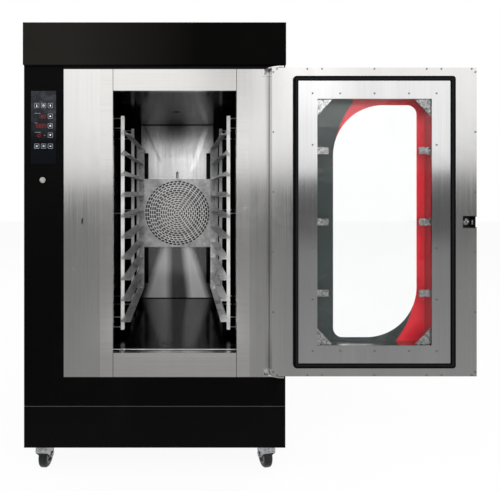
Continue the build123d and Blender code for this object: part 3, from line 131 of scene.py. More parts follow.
def doVector(tree, operation, *vectors):
    return addNode(tree, "ShaderNodeVectorMath", dict(enumerate(vectors)), operation=operation).outputs


def mixColors(tree, factor, first, second):
    return addNode(tree, "ShaderNodeMix", {0: factor, 6: first, 7: second}, data_type="RGBA").outputs[2]


def spread(tree, value, low, high, toLow=0.0, toHigh=1.0):
    inputs = {0: value, 1: low, 2: high, 3: toLow, 4: toHigh}
    return addNode(tree, "ShaderNodeMapRange", inputs, clamp=True).outputs[0]


def softBand(tree, value, centre, half, soft):
    # 1 within half of the centre, and down to 0 over the soft edge.
    away = doMath(tree, "ABSOLUTE", minus(tree, value, centre))
    return spread(tree, away, half, half + soft, 1.0, 0.0)


def addNoise(tree, place, scale, detail, roughness=0.5, distortion=0.0):
    inputs = {"Vector": place, "Scale": scale, "Detail": detail, "Roughness": roughness}
    inputs["Distortion"] = distortion
    return addNode(tree, "ShaderNodeTexNoise", inputs).outputs[0]


def coordinates(tree, place):
    return addNode(tree, "ShaderNodeSeparateXYZ", {0: place}).outputs


def startGroup(name, inputs, outputs):
    tree = bpy.data.node_groups.new(name, "ShaderNodeTree")
    kinds = {"vector": "NodeSocketVector", "value": "NodeSocketFloat"}
    for label, kind, default in inputs:
        socket = tree.interface.new_socket(name=label, in_out="INPUT", socket_type=kinds[kind])
        if default is not None:
            socket.default_value = default
    for label, kind in outputs:
        tree.interface.new_socket(name=label, in_out="OUTPUT", socket_type=kinds[kind])
    return tree, tree.nodes.new("NodeGroupInput").outputs, tree.nodes.new("NodeGroupOutput").inputs


# Shared effects

def makeBrushedGrain():
    tree, given, result = startGroup(
        "brushedGrain",
        [
            ("Vector", "vector", None), ("Grain", "vector", (220.0, 220.0, 3.0)),
            ("Bands", "vector", (9.0, 9.0, 0.4)),
        ],
        [("Streak", "value"), ("Band", "value"), ("Height", "value")],
    )
    fine = doVector(tree, "MULTIPLY", given["Vector"], given["Grain"])[0]
    wide = doVector(tree, "MULTIPLY", given["Vector"], given["Bands"])[0]
    fineNoise = addNoise(tree, fine, 1.0, 5.0, 0.65)
    wideNoise = addNoise(tree, wide, 1.0, 3.0)
    tree.links.new(spread(tree, fineNoise, 0.3, 0.7), result["Streak"])
    tree.links.new(spread(tree, wideNoise, 0.3, 0.7), result["Band"])
    tree.links.new(fineNoise, result["Height"])
    return tree


def makeHandlingMarks():
    tree, given, result = startGroup(
        "handlingMarks", [("Vector", "vector", None), ("Size", "value", 5.0)], [("Mask", "value")]
    )
    broad = addNoise(tree, given["Vector"], given["Size"], 4.0, 0.6, 0.6)
    small = addNoise(tree, given["Vector"], times(tree, given["Size"], 7.0), 2.0)
    both = times(tree, spread(tree, broad, 0.45, 0.75), spread(tree, small, 0.35, 0.65, 0.4, 1.0))
    tree.links.new(both, result["Mask"])
    return tree


def makeOrangePeel():
    tree, given, result = startGroup(
        "orangePeel", [("Vector", "vector", None), ("Size", "value", 600.0)],
        [("Height", "value"), ("Fleck", "value")],
    )
    flecks = addNoise(tree, given["Vector"], times(tree, given["Size"], 2.3), 0.0)
    tree.links.new(addNoise(tree, given["Vector"], given["Size"], 2.0), result["Height"])
    tree.links.new(spread(tree, flecks, 0.66, 0.74), result["Fleck"])
    return tree


def makeSettledDust():
    tree, given, result = startGroup(
        "settledDust", [("Vector", "vector", None), ("Amount", "value", 0.5)], [("Mask", "value")]
    )
    up = coordinates(tree, tree.nodes.new("ShaderNodeNewGeometry").outputs["Normal"])[2]
    patchy = spread(tree, addNoise(tree, given["Vector"], 30.0, 5.0, 0.7), 0.3, 0.75, 0.25, 1.0)
    tree.links.new(times(tree, patchy, spread(tree, up, 0.6, 0.95), given["Amount"]), result["Mask"])
    return tree


def makeAxleDistance():
    # How far a point lies from an axle's line.
    tree, given, result = startGroup(
        "axleDistance",
        [("Vector", "vector", None), ("Centre", "vector", (0, 0, 0)), ("Axle", "vector", (1, 0, 0))],
        [("Distance", "value")],
    )
    arm = doVector(tree, "SUBTRACT", given["Vector"], given["Centre"])[0]
    cross = doVector(tree, "CROSS_PRODUCT", arm, given["Axle"])[0]
    tree.links.new(doVector(tree, "LENGTH", cross)["Value"], result["Distance"])
    return tree


def makeFrameDistance():
    # How far a point lies outside an upright rectangle, for stripes that run round a frame.
    tree, given, result = startGroup(
        "frameDistance",
        [("Vector", "vector", None), ("Middle", "vector", (0, 0, 0)), ("Half", "vector", (0.3, 0, 0.5))],
        [("Distance", "value")],
    )
    offset = doVector(tree, "SUBTRACT", given["Vector"], given["Middle"])[0]
    across = doVector(tree, "ABSOLUTE", offset)[0]
    parts = coordinates(tree, doVector(tree, "SUBTRACT", across, given["Half"])[0])
    tree.links.new(larger(tree, parts[0], parts[2]), result["Distance"])
    return tree


def makeTwoTonePrint():
    # Splits the window print in two by an S-shaped line that runs half a turn about the window's middle.
    tree, given, result = startGroup(
        "twoTonePrint",
        [
            ("Vector", "vector", None), ("Middle", "vector", (0, 0, 0)),
            ("Aside", "value", 0.2395), ("Above", "value", 0.2296), ("Radius", "value", 0.4066),
        ],
        [("Mask", "value")],
    )
    across, _, upward = coordinates(tree, doVector(tree, "SUBTRACT", given["Vector"], given["Middle"])[0])
    rise = minus(tree, doMath(tree, "ABSOLUTE", upward), given["Above"])
    radius = given["Radius"]
    squared = minus(tree, times(tree, radius, radius), times(tree, rise, rise))
    reach = doMath(tree, "SQRT", larger(tree, squared, 0.0))
    bend = minus(tree, given["Aside"], reach)
    border = times(tree, bend, isAbove(tree, rise, 0.0), doMath(tree, "SIGN", upward))
    tree.links.new(isAbove(tree, across, border), result["Mask"])
    return tree


brushedGrain = makeBrushedGrain()
handlingMarks = makeHandlingMarks()
orangePeel = makeOrangePeel()
settledDust = makeSettledDust()
axleDistance = makeAxleDistance()
frameDistance = makeFrameDistance()
twoTonePrint = makeTwoTonePrint()


def socketName(key):
    # specularTint stands for the socket Specular Tint.
    label = "".join(" " + letter if letter.isupper() else letter for letter in key).title()
    return label.replace("Ior", "IOR")


def feed(tree, shader, **values):
    for key, value in values.items():
        connect(tree, shader.inputs[socketName(key)], value)


def startMaterial(name, **values):
    material = bpy.data.materials.new(name)
    material.use_nodes = True
    tree = material.node_tree
    tree.nodes.clear()
    output = tree.nodes.new("ShaderNodeOutputMaterial")
    shader = tree.nodes.new("ShaderNodeBsdfPrincipled")
    tree.links.new(shader.outputs[0], output.inputs[0])
    feed(tree, shader, **values)
    place = tree.nodes.new("ShaderNodeTexCoord").outputs["Object"]
    return material, tree, shader, place


def connectBump(tree, shader, height, strength, distance):
    bump = addNode(tree, "ShaderNodeBump", {"Strength": strength, "Distance": distance, "Height": height})
    tree.links.new(bump.outputs[0], shader.inputs["Normal"])


def gray(level, warmth=0.0):
    return (level, level * (1 - warmth * 0.4), level * (1 - warmth), 1)


# Finishes

def startSteel(
    name, dark, light, roughLow, roughHigh, grain, bands=(9.0, 9.0, 0.4), marks=0.25, bump=0.05, metal=1.0,
    edge=1.0,
):
    # Brushed metal: streaks along the grain, broader bands and a few smudges; edge dims it at a glancing angle.
    material, tree, shader, place = startMaterial(name, metallic=metal, specularTint=gray(edge))
    brushed = useGroup(tree, brushedGrain, Vector=place, Grain=grain, Bands=bands)
    smudges = useGroup(tree, handlingMarks, Vector=place, Size=4.0)["Mask"]
    tone = doMath(tree, "ADD", times(tree, brushed["Streak"], 0.45), times(tree, brushed["Band"], 0.55))
    color = mixColors(tree, tone, gray(*dark), gray(*light))
    rough = spread(tree, brushed["Streak"], 0.0, 1.0, roughLow, roughHigh)
    rough = doMath(tree, "ADD", rough, times(tree, smudges, marks * 0.3))
    connectBump(tree, shader, brushed["Height"], bump, 0.0004)
    return material, tree, shader, place, color, rough


def makeSteel(name, dark, light, roughLow, roughHigh, grain, dust=0.0, **brushing):
    material, tree, shader, place, color, rough = startSteel(
        name, dark, light, roughLow, roughHigh, grain, **brushing
    )
    if dust:
        dusty = useGroup(tree, settledDust, Vector=place, Amount=dust)["Mask"]
        color = mixColors(tree, dusty, color, (0.30, 0.28, 0.25, 1))
    feed(tree, shader, baseColor=color, roughness=rough)
    return material


upright, level, allRound = (240.0, 240.0, 2.5), (2.5, 240.0, 240.0), (160.0, 160.0, 160.0)
doorSteel = makeSteel("doorSteel", (0.46, 0.02), (0.54, 0.02), 0.16, 0.23, upright)
windowFrameSteel = makeSteel("windowFrameSteel", (0.44, 0.0), (0.55, 0.0), 0.10, 0.15, upright)
# The rear wall and the impeller are nearly black: painted shade behind the fan guard.
rearShadeSteel = makeSteel("rearShadeSteel", (0.012, 0.0), (0.03, 0.0), 0.2, 0.3, upright)
impellerShadeSteel = makeSteel("impellerShadeSteel", (0.012, 0.05), (0.03, 0.05), 0.35, 0.5, allRound)
pipeSteel = makeSteel("pipeSteel", (0.42, 0.02), (0.58, 0.02), 0.2, 0.34, (90.0, 90.0, 90.0))
injectorSteel = makeSteel(
    "injectorSteel", (0.70, 0.02), (0.90, 0.02), 0.2, 0.34, (90.0, 90.0, 90.0), metal=0.6
)
clipSteel = makeSteel(
    "clipSteel", (0.03, 0.0), (0.40, 0.0), 0.2, 0.36, (110.0, 110.0, 110.0), bands=(130.0, 130.0, 130.0),
    bump=0.5,
)
screwSteel = makeSteel("screwSteel", (0.14, 0.0), (0.26, 0.0), 0.2, 0.32, (300.0, 300.0, 300.0))
hingeSteel = makeSteel("hingeSteel", (0.48, 0.02), (0.62, 0.02), 0.18, 0.3, (300.0, 300.0, 300.0))
tubeSteel = makeSteel("tubeSteel", (0.24, 0.0), (0.36, 0.0), 0.35, 0.5, (60.0, 60.0, 60.0), dust=0.5)
zincPlate = makeSteel(
    "zincPlate", (0.06, -0.05), (0.52, -0.05), 0.2, 0.36, allRound, bands=(75.0, 75.0, 75.0), marks=0.5,
    bump=0.2, dust=0.5,
)
heaterSheath = makeSteel("heaterSheath", (0.06, 0.15), (0.13, 0.2), 0.4, 0.6, (80.0, 80.0, 80.0))
handleChrome = makeSteel("handleChrome", (0.60, -0.02), (0.70, -0.02), 0.12, 0.2, (60.0, 60.0, 60.0))
turnedSteel = makeSteel(
    "turnedSteel", (0.26, 0.08), (0.58, 0.07), 0.12, 0.26, (400.0, 400.0, 400.0), bands=(130.0, 130.0, 130.0)
)


def makeFrontSteel():
    # Upright grain on the stiles, level grain on the rails with painted shade darker towards the top, and the
    # frame painted black in a strip under the header.
    values = {"stripLow": 1.63665, "railHalf": 0.2995, "black": 0.0022}
    material, tree, shader, place, color, rough = startSteel(
        "frontSteelAndStrip", (0.46, 0.02), (0.54, 0.02), 0.16, 0.23, upright
    )
    across, _, height = coordinates(tree, place)
    away = doMath(tree, "ABSOLUTE", minus(tree, across, cavityX))
    isRail = doMath(tree, "LESS_THAN", away, values["railHalf"])
    brushed = useGroup(tree, brushedGrain, Vector=place, Grain=level, Bands=(0.8, 9.0, 9.0))
    rail = mixColors(tree, brushed["Streak"], (0.57, 0.56, 0.545, 1), (0.63, 0.618, 0.60, 1))
    # Painted shade: the rails grow darker towards the top.
    rail = mixColors(tree, spread(tree, height, 0.6, 1.4, 0.0, 0.35), rail, gray(0.3))
    color = mixColors(tree, isRail, color, rail)
    # The frame's top is painted black here, in a strip under the header.
    strip = isAbove(tree, height, values["stripLow"])
    feed(tree, shader, baseColor=mixColors(tree, strip, color, gray(values["black"])))
    feed(tree, shader, metallic=inverse(tree, strip), roughness=larger(tree, rough, times(tree, strip, 0.5)))
    feed(tree, shader, specularIorLevel=spread(tree, strip, 0.0, 1.0, 0.5, 0.06))
    return material


def makeWallSteel():
    # Polished dark wall sheets; the rack pegs and studs that stand on them are bright.
    values = {"pegs": 0.2955, "bright": (0.70, 0.0)}
    material, tree, shader, place, color, rough = startSteel(
        "wallSteel", (0.025, 0.0), (0.06, 0.0), 0.09, 0.16, (120.0, 120.0, 1.5), bands=(14.0, 14.0, 0.7),
        edge=0.12,
    )
    away = doMath(tree, "ABSOLUTE", minus(tree, coordinates(tree, place)[0], cavityX))
    isPeg = doMath(tree, "LESS_THAN", away, values["pegs"])
    feed(tree, shader, baseColor=mixColors(tree, isPeg, color, gray(*values["bright"])))
    feed(tree, shader, roughness=larger(tree, rough, times(tree, isPeg, 0.3)))
    return material


def makeFloorSteel():
    # Dark mirror-like floor with a painted highlight: a bright line along the fold at its front edge.
    values = {"edge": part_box("cavity_floor")[0].y + 0.012, "edgeHalf": 0.0035, "bright": (0.95, 0.0)}
    material, tree, shader, place, color, rough = startSteel(
        "floorSteel", (0.08, 0.0), (0.17, 0.0), 0.11, 0.18, (90.0, 3.0, 90.0), bands=(8.0, 1.0, 8.0),
        marks=0.1, edge=0.5,
    )
    # Painted highlight: a bright, less metallic line along the fold of the front edge.
    isEdgeHighlight = softBand(tree, coordinates(tree, place)[1], values["edge"], values["edgeHalf"], 0.0005)
    feed(tree, shader, baseColor=mixColors(tree, isEdgeHighlight, color, gray(*values["bright"])))
    feed(tree, shader, roughness=larger(tree, rough, times(tree, isEdgeHighlight, 0.4)))
    feed(tree, shader, metallic=inverse(tree, isEdgeHighlight))
    return material


def makeBaffleSteel():
    # The fan panel, pale above the guard and darker at its crown, in painted light: the pale streaks below are
    # painted reflections with painted shade beside them, the marks above are a bright and a dark painted slash
    # of reflection, and painted shade darkens the crown and the sheet behind the guard.
    values = {
        "guardFoot": 0.83, "guardHead": 1.21, "low": 0.809, "crown": (1.34, 1.54), "soft": 0.022,
        "leftEdge": (-0.09, 0.344), "middleLeft": (-0.049, 0.0),
        "middleRight": (0.038, -0.10), "rightEdge": (0.084, -0.35), "leftAmount": 0.72,
        "lowShade": (0.86, 0.04), "highBand": (-0.09, 0.06, 0.08), "highShade": (0.3, 0.5, 0.1),
        "crownBand": (-0.01, 0.035, 0.07), "crownShade": (0.45, 0.92, 0.03),
        "reflectionSlashes": ((0.132, 1.403, 0.324, 0.009, 0.95, 0.7), (-0.158, 1.452, -0.445, 0.003, 0.1, 0.4)),
        "slashReach": (0.10, 0.04), "slashSoft": 0.012,
        "behind": (0.818, 1.220), "behindShade": 0.015, "diffuse": 0.8,
    }
    material, tree, shader, place, color, rough = startSteel(
        "baffleSteel", (0.86, 0.0), (0.99, 0.0), 0.16, 0.26, (60.0, 60.0, 1.2), bands=(12.0, 12.0, 0.6)
    )
    across, _, height = coordinates(tree, place)
    across = minus(tree, across, cavityX)

    def rightOf(line):
        start, slope = values[line]
        edge = doMath(tree, "ADD", start, times(tree, minus(tree, height, values["low"]), slope))
        return spread(tree, minus(tree, across, edge), -values["soft"], values["soft"])

    # Painted reflections: two pale streaks below the guard, the left one fainter.
    leftStreak = times(tree, rightOf("leftEdge"), inverse(tree, rightOf("middleLeft")))
    rightStreak = times(tree, rightOf("middleRight"), inverse(tree, rightOf("rightEdge")))
    pale = doMath(tree, "ADD", times(tree, leftStreak, values["leftAmount"]), rightStreak)
    isLow = spread(tree, height, values["guardFoot"], values["guardFoot"] - 0.01)
    # Painted shade beside the pale streaks, below the guard's foot.
    amount, shade = values["lowShade"]
    color = mixColors(tree, times(tree, inverse(tree, pale), isLow, amount), color, gray(shade))
    # Painted shade above the guard, darker still at the crown, most of all in the middle.
    isHigh = spread(tree, height, values["guardHead"], values["guardHead"] + 0.02)
    isCrown = spread(tree, height, *values["crown"])
    for where, band, shades in ((isHigh, "highBand", "highShade"), (isCrown, "crownBand", "crownShade")):
        aside, middle, shade = values[shades]
        patch = spread(tree, softBand(tree, across, *values[band]), 0.0, 1.0, aside, middle)
        color = mixColors(tree, times(tree, where, patch), color, gray(shade))
    # Painted reflections: a bright slash and a dark one, slanting across the panel above the guard.
    for centre, middleZ, slant, half, shade, amount in values["reflectionSlashes"]:
        shifted = minus(tree, across, times(tree, minus(tree, height, middleZ), slant))
        reach = softBand(tree, height, middleZ, *values["slashReach"])
        slash = times(tree, softBand(tree, shifted, centre, half, values["slashSoft"]), reach, amount)
        color = mixColors(tree, slash, color, gray(shade))
    # Painted shade behind the guard, so that its slots look dark.
    low, high = values["behind"]
    behind = softBand(tree, height, (low + high) / 2, (high - low) / 2, 0.002)
    color = mixColors(tree, behind, color, gray(values["behindShade"]))
    # The painted pale streaks are also made partly diffuse.
    reflectionDiffuse = times(tree, pale, isLow, values["diffuse"])
    feed(tree, shader, metallic=inverse(tree, reflectionDiffuse), baseColor=color, roughness=rough)
    return material


def makeGuardSteel():
    # Satin sheet, paler in its slotted ring and darkened round each slot with painted shade, so that the slots
    # read as clearly as in the photograph.
    values = {
        "ring": 0.192, "ringSoft": 0.004, "height": 1.019, "webs": (0.8, 0.98), "first": 0.188, "pitch": 0.0132,
        "slotPitch": 0.0246, "fewest": 4.0, "slotMiddle": 0.36, "slotHalf": 0.38, "slotSoft": 0.05,
        "bold": ((-0.5, 1.5), (3.5, 5.5)), "rim": (0.0034, 0.0046, 0.8), "boldRim": (0.0043, 0.0055, 0.97),
        "rimShade": 0.05,
    }
    material, tree, shader, place, color, rough = startSteel(
        "guardSteel", (0.30, 0.0), (0.98, 0.0), 0.30, 0.44, (60.0, 60.0, 60.0), bands=(16.0, 16.0, 16.0),
        metal=0.55,
    )
    centre = (cavityX, 0.0, values["height"])
    reach = useGroup(tree, axleDistance, Vector=place, Centre=centre, Axle=(0.0, 1.0, 0.0))["Distance"]
    isRing = spread(tree, reach, values["ring"], values["ring"] - values["ringSoft"])
    amount, shade = values["webs"]
    color = mixColors(tree, times(tree, isRing, amount), color, gray(shade))
    row = times(tree, minus(tree, values["first"], reach), 1 / values["pitch"])
    nearest = doMath(tree, "ROUND", row)
    aside = times(tree, doMath(tree, "ABSOLUTE", minus(tree, row, nearest)), values["pitch"])
    across, _, height = coordinates(tree, place)
    angle = doMath(tree, "ARCTAN2", minus(tree, height, values["height"]), minus(tree, across, cavityX))
    radius = minus(tree, values["first"], times(tree, nearest, values["pitch"]))
    count = doMath(tree, "ROUND", times(tree, radius, math.tau / values["slotPitch"]))
    turn = times(tree, angle, larger(tree, count, values["fewest"]), 1 / math.tau)
    turn = minus(tree, turn, times(tree, doMath(tree, "PINGPONG", nearest, 1.0), 0.5))
    part = doMath(tree, "FRACT", turn)
    isSlot = softBand(tree, part, values["slotMiddle"], values["slotHalf"], values["slotSoft"])
    isRing = times(tree, isRing, isSlot)
    isBold = 0.0
    for low, high in values["bold"]:
        inside = times(tree, isAbove(tree, row, low), doMath(tree, "LESS_THAN", row, high))
        isBold = larger(tree, isBold, inside)
    # Painted shade: darker round each slot, wider round the bold rings.
    for rim, where in (("rim", isRing), ("boldRim", times(tree, isRing, isBold))):
        narrow, wide, amount = values[rim]
        dark = times(tree, spread(tree, aside, narrow, wide, 1.0, 0.0), where, amount)
        color = mixColors(tree, dark, color, gray(values["rimShade"]))
    feed(tree, shader, baseColor=color, roughness=rough)
    return material


def makeRackSteel():
    # Bright posts; the rails and their tabs are duller and patchy, with a painted highlight that makes them
    # bright again at the lower right.
    values = {
        "posts": 0.2282, "bright": 0.97, "tabs": -0.418, "lowRightHighlight": (0.98, 0.84), "lowRightHighlightColor": 0.98,
        "patches": (0.1, 0.5, 1.0, 0.15),
    }
    material, tree, shader, place, color, rough = startSteel(
        "rackSteel", (0.22, 0.0), (0.88, 0.0), 0.26, 0.42, (70.0, 5.0, 70.0), bands=(16.0, 9.0, 16.0),
        bump=0.15,
    )
    across, deep, height = coordinates(tree, place)
    across = minus(tree, across, cavityX)
    away = doMath(tree, "ABSOLUTE", across)
    isPost = times(tree, isAbove(tree, away, values["posts"]), isAbove(tree, deep, values["tabs"]))
    patchy = useGroup(tree, handlingMarks, Vector=place, Size=16.0)["Mask"]
    # Painted highlight: the right-hand rails are brighter lower down, in patches.
    lowRightHighlight = times(
        tree, isAbove(tree, across, 0.0), spread(tree, height, *values["lowRightHighlight"]),
        spread(tree, patchy, *values["patches"]),
    )
    color = mixColors(tree, lowRightHighlight, color, gray(values["lowRightHighlightColor"]))
    feed(tree, shader, baseColor=mixColors(tree, isPost, color, gray(values["bright"])))
    feed(tree, shader, roughness=larger(tree, rough, times(tree, isPost, 0.5)))
    feed(tree, shader, metallic=spread(tree, larger(tree, isPost, lowRightHighlight), 0.0, 1.0, 0.7, 0.1))
    return material


def makeCeilingSteel():
    # Dark polished ceiling, with painted shade that makes it dimmer towards the mouth.
    values = {"fade": (-0.5, 0.0, 0.75, 0.0), "mouth": 0.02}
    material, tree, shader, place, color, rough = startSteel(
        "ceilingSteel", (0.15, 0.0), (0.44, 0.0), 0.10, 0.18, (60.0, 2.0, 60.0), bands=(9.0, 1.5, 9.0),
        edge=0.8,
    )
    # Painted shade, darker towards the mouth.
    near = spread(tree, coordinates(tree, place)[1], *values["fade"])
    feed(tree, shader, baseColor=mixColors(tree, near, color, gray(values["mouth"])), roughness=rough)
    return material


def makeCoat(name, base, fleck, roughness, specular, peel, dust=0.1, fade=None, edgeHighlightAbove=None):
    # Powder coat: fine orange peel, a few flecks, rubbed patches and dust on what faces up. It can also take
    # painted light: a ramp across that lightens one side, and a painted highlight above a given height.
    material, tree, shader, place = startMaterial(name, specularIorLevel=specular)
    texture = useGroup(tree, orangePeel, Vector=place, Size=peel)
    rubbed = useGroup(tree, handlingMarks, Vector=place, Size=3.0)["Mask"]
    dusty = useGroup(tree, settledDust, Vector=place, Amount=dust)["Mask"]
    across, _, height = coordinates(tree, place)
    color = mixColors(tree, texture["Fleck"], gray(*base), gray(*fleck))
    # Painted sheen: towards one side the coat turns to the given lighter colour.
    if fade:
        color = mixColors(tree, spread(tree, across, *fade["across"]), gray(*fade["color"]), color)
    color = mixColors(tree, times(tree, rubbed, 0.25), color, gray(*fleck))
    color = mixColors(tree, dusty, color, (0.16, 0.15, 0.14, 1))
    # Painted highlight above the given height, for a top edge that catches the light.
    if edgeHighlightAbove:
        color = mixColors(tree, isAbove(tree, height, edgeHighlightAbove), color, gray(0.06))
    feed(tree, shader, baseColor=color, roughness=doMath(tree, "ADD", roughness, times(tree, rubbed, 0.12)))
    connectBump(tree, shader, texture["Height"], 0.12, 0.0003)
    return material


blackCoat = makeCoat("blackCoat", (0.0014, 0.05), (0.005, 0.0), 0.42, 0.02, 700.0)
sideCoat = makeCoat("sideCoat", (0.003, 0.05), (0.009, 0.0), 0.45, 0.14, 700.0)
# The skirt's top edge has a painted highlight where its bend would catch the light.
skirtCoat = makeCoat("skirtCoat", (0.0016, 0.05), (0.005, 0.0), 0.42, 0.03, 700.0, edgeHighlightAbove=0.2864)
# The header has a painted sheen, lighter towards the left.
headerCoat = makeCoat(
    "headerCoat", (0.0012, 0.12), (0.004, 0.15), 0.4, 0.012, 520.0,
    fade={"across": (-0.70, -0.20), "color": (0.012, 0.2)},
)
latchPlastic = makeCoat("latchPlastic", (0.006, -0.05), (0.012, 0.0), 0.5, 0.2, 900.0, 0.1)
motorPaint = makeCoat("motorPaint", (0.05, -0.8), (0.10, -0.5), 0.45, 0.4, 500.0, 0.6)


def makeWool():
    material, tree, shader, place = startMaterial("mineralWool", roughness=0.95, specularIorLevel=0.1)
    fibres = useGroup(tree, brushedGrain, Vector=place, Grain=(900.0, 300.0, 900.0), Bands=(40.0, 40.0, 40.0))
    color = mixColors(tree, fibres["Streak"], (0.28, 0.23, 0.11, 1), (0.50, 0.44, 0.26, 1))
    color = mixColors(tree, times(tree, fibres["Band"], 0.4), color, (0.36, 0.31, 0.18, 1))
    feed(tree, shader, baseColor=color)
    connectBump(tree, shader, fibres["Height"], 0.7, 0.003)
    return material


def makeGasket():
    # Black rubber seal with a rounded bead, whose highlight is painted as a lighter line along its middle.
    low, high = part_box("door_gasket")
    values = {"base": (0.0018, -0.15), "light": (0.013, -0.1), "line": 0.012, "lineHalf": 0.0022}
    material, tree, shader, place = startMaterial("gasketRubber", specularIorLevel=0.02)
    texture = useGroup(tree, orangePeel, Vector=place, Size=900.0)
    worn = useGroup(tree, handlingMarks, Vector=place, Size=12.0)["Mask"]
    half = (high - low) / 2
    distance = useGroup(
        tree, frameDistance, Vector=place, Middle=(low + high) / 2,
        Half=(half.x - values["line"], 1.0, half.z - values["line"]),
    )["Distance"]
    # Painted highlight: a lighter line along the middle of the seal.
    line = softBand(tree, distance, 0.0, values["lineHalf"], 0.003)
    color = mixColors(tree, times(tree, worn, 0.5), gray(*values["base"]), gray(0.006))
    color = mixColors(tree, times(tree, line, 0.6), color, gray(*values["light"]))
    feed(tree, shader, baseColor=color, roughness=spread(tree, worn, 0.0, 1.0, 0.45, 0.6))
    connectBump(tree, shader, texture["Height"], 0.2, 0.0003)
    return material


def makeWheel(name, node):
    # Dark crowned tyre on a grey moulded hub, told apart by the distance from the axle.
    values = {"hub": 0.034, "bearing": 0.0125}
    joint = next(j for j in frame["joints"] if j["name"] == node + "_roll")
    material, tree, shader, place = startMaterial(name, specularIorLevel=0.2)
    reach = useGroup(tree, axleDistance, Vector=place, Centre=middleOf(node), Axle=joint["axis"])["Distance"]
    isHub = doMath(tree, "LESS_THAN", reach, values["hub"])
    isBearing = doMath(tree, "LESS_THAN", reach, values["bearing"])
    texture = useGroup(tree, orangePeel, Vector=place, Size=700.0)
    scuffs = useGroup(tree, handlingMarks, Vector=place, Size=14.0)["Mask"]
    tyre = mixColors(tree, scuffs, (0.006, 0.006, 0.007, 1), (0.028, 0.027, 0.026, 1))
    hub = mixColors(tree, scuffs, (0.12, 0.12, 0.125, 1), (0.18, 0.18, 0.18, 1))
    color = mixColors(tree, isHub, tyre, hub)
    color = mixColors(tree, isBearing, color, (0.5, 0.5, 0.5, 1))
    feed(tree, shader, baseColor=color, metallic=isBearing)
    feed(tree, shader, roughness=spread(tree, scuffs, 0.0, 1.0, 0.32, 0.6))
    connectBump(tree, shader, texture["Height"], 0.15, 0.0003)
    return material


def makePrint():
    # Red and dark halves of the printed border, a little faded in places.
    values = {
        "red": (0.56, 0.010, 0.022, 1), "dark": (0.017, 0.028, 0.026, 1),
        "middle": (cavityX + 0.7965, 0.0, 1.02875),
    }
    material, tree, shader, place = startMaterial("windowPrint", roughness=0.3, specularIorLevel=0.3)
    isRed = useGroup(tree, twoTonePrint, Vector=place, Middle=values["middle"])["Mask"]
    fired = useGroup(tree, orangePeel, Vector=place, Size=420.0)
    faded = useGroup(tree, handlingMarks, Vector=place, Size=3.5)["Mask"]
    color = mixColors(tree, isRed, values["dark"], values["red"])
    color = mixColors(tree, times(tree, faded, 0.05), color, (0.25, 0.25, 0.25, 1))
    feed(tree, shader, baseColor=color, roughness=spread(tree, faded, 0.0, 1.0, 0.24, 0.4))
    connectBump(tree, shader, fired["Height"], 0.05, 0.0002)
    return material


def makePane():
    # It bends light less than real glass, which keeps its own reflection weak, and has a faint film.
    material, tree, shader, place = startMaterial("windowPane", transmissionWeight=1.0, ior=1.2)
    film = useGroup(tree, handlingMarks, Vector=place, Size=3.0)["Mask"]
    feed(tree, shader, roughness=spread(tree, film, 0.0, 1.0, 0.0, 0.02))
    tint = mixColors(tree, film, (0.992, 0.997, 0.994, 1), (0.975, 0.985, 0.98, 1))
    feed(tree, shader, baseColor=tint)
    return material


def makeControlGlass():
    # Dark front film: a painted cool grey sheen with fine grain near the top, nearly black at the foot.
    low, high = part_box("control_glass")
    material, tree, shader, place = startMaterial("controlGlass", specularIorLevel=0.03)
    texture = useGroup(tree, orangePeel, Vector=place, Size=260.0)
    topSheenMottle = useGroup(tree, handlingMarks, Vector=place, Size=22.0)["Mask"]
    # Painted sheen, lighter towards the top and mottled there.
    top = spread(tree, coordinates(tree, place)[2], low.z + 0.09, high.z - 0.06)
    color = mixColors(tree, top, (0.0022, 0.003, 0.0042, 1), (0.017, 0.019, 0.022, 1))
    color = mixColors(tree, times(tree, topSheenMottle, top, 0.9), color, (0.075, 0.077, 0.082, 1))
    feed(tree, shader, baseColor=color, roughness=spread(tree, texture["Height"], 0.3, 0.7, 0.16, 0.3))
    connectBump(tree, shader, texture["Height"], 0.04, 0.0003)
    return material


def makeBoard():
    # Green board behind, black switches and display modules in front of it.
    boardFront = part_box("control_board")[1].y - 0.00165
    material, tree, shader, place = startMaterial("circuitBoard", roughness=0.4)
    traces = useGroup(tree, brushedGrain, Vector=place, Grain=allRound, Bands=(30.0, 30.0, 30.0))
    isBoard = isAbove(tree, coordinates(tree, place)[1], boardFront)
    green = mixColors(tree, traces["Streak"], (0.01, 0.09, 0.035, 1), (0.02, 0.16, 0.07, 1))
    black = mixColors(tree, traces["Band"], (0.012, 0.012, 0.013, 1), (0.03, 0.03, 0.032, 1))
    feed(tree, shader, baseColor=mixColors(tree, isBoard, black, green))
    connectBump(tree, shader, traces["Height"], 0.2, 0.0002)
    return material


def makeBronze():
    material, tree, shader, place = startMaterial("bearingBronze", metallic=1.0)
    cast = useGroup(tree, brushedGrain, Vector=place, Grain=(200.0, 200.0, 200.0), Bands=(50.0, 50.0, 50.0))
    bronze = mixColors(tree, cast["Band"], (0.36, 0.22, 0.08, 1), (0.52, 0.35, 0.14, 1))
    feed(tree, shader, baseColor=bronze, roughness=spread(tree, cast["Streak"], 0.0, 1.0, 0.3, 0.45))
    connectBump(tree, shader, cast["Height"], 0.1, 0.0003)
    return material


def makeMarking(name, color, worn, glow=0.0):
    # Printed marks on the keys, and the lit segments of the readouts; a glow gives a mark light of its own, a
    # painted glow on the white key signs.
    material, tree, shader, place = startMaterial(name, roughness=0.4, specularIorLevel=0.2)
    texture = useGroup(tree, orangePeel, Vector=place, Size=1400.0)
    shade = mixColors(tree, spread(tree, texture["Height"], 0.35, 0.65), worn, color)
    feed(tree, shader, baseColor=shade)
    if glow:
        tree.links.new(shade, shader.inputs["Emission Color"])
        shader.inputs["Emission Strength"].default_value = glow
    connectBump(tree, shader, texture["Height"], 0.05, 0.0002)
    return material


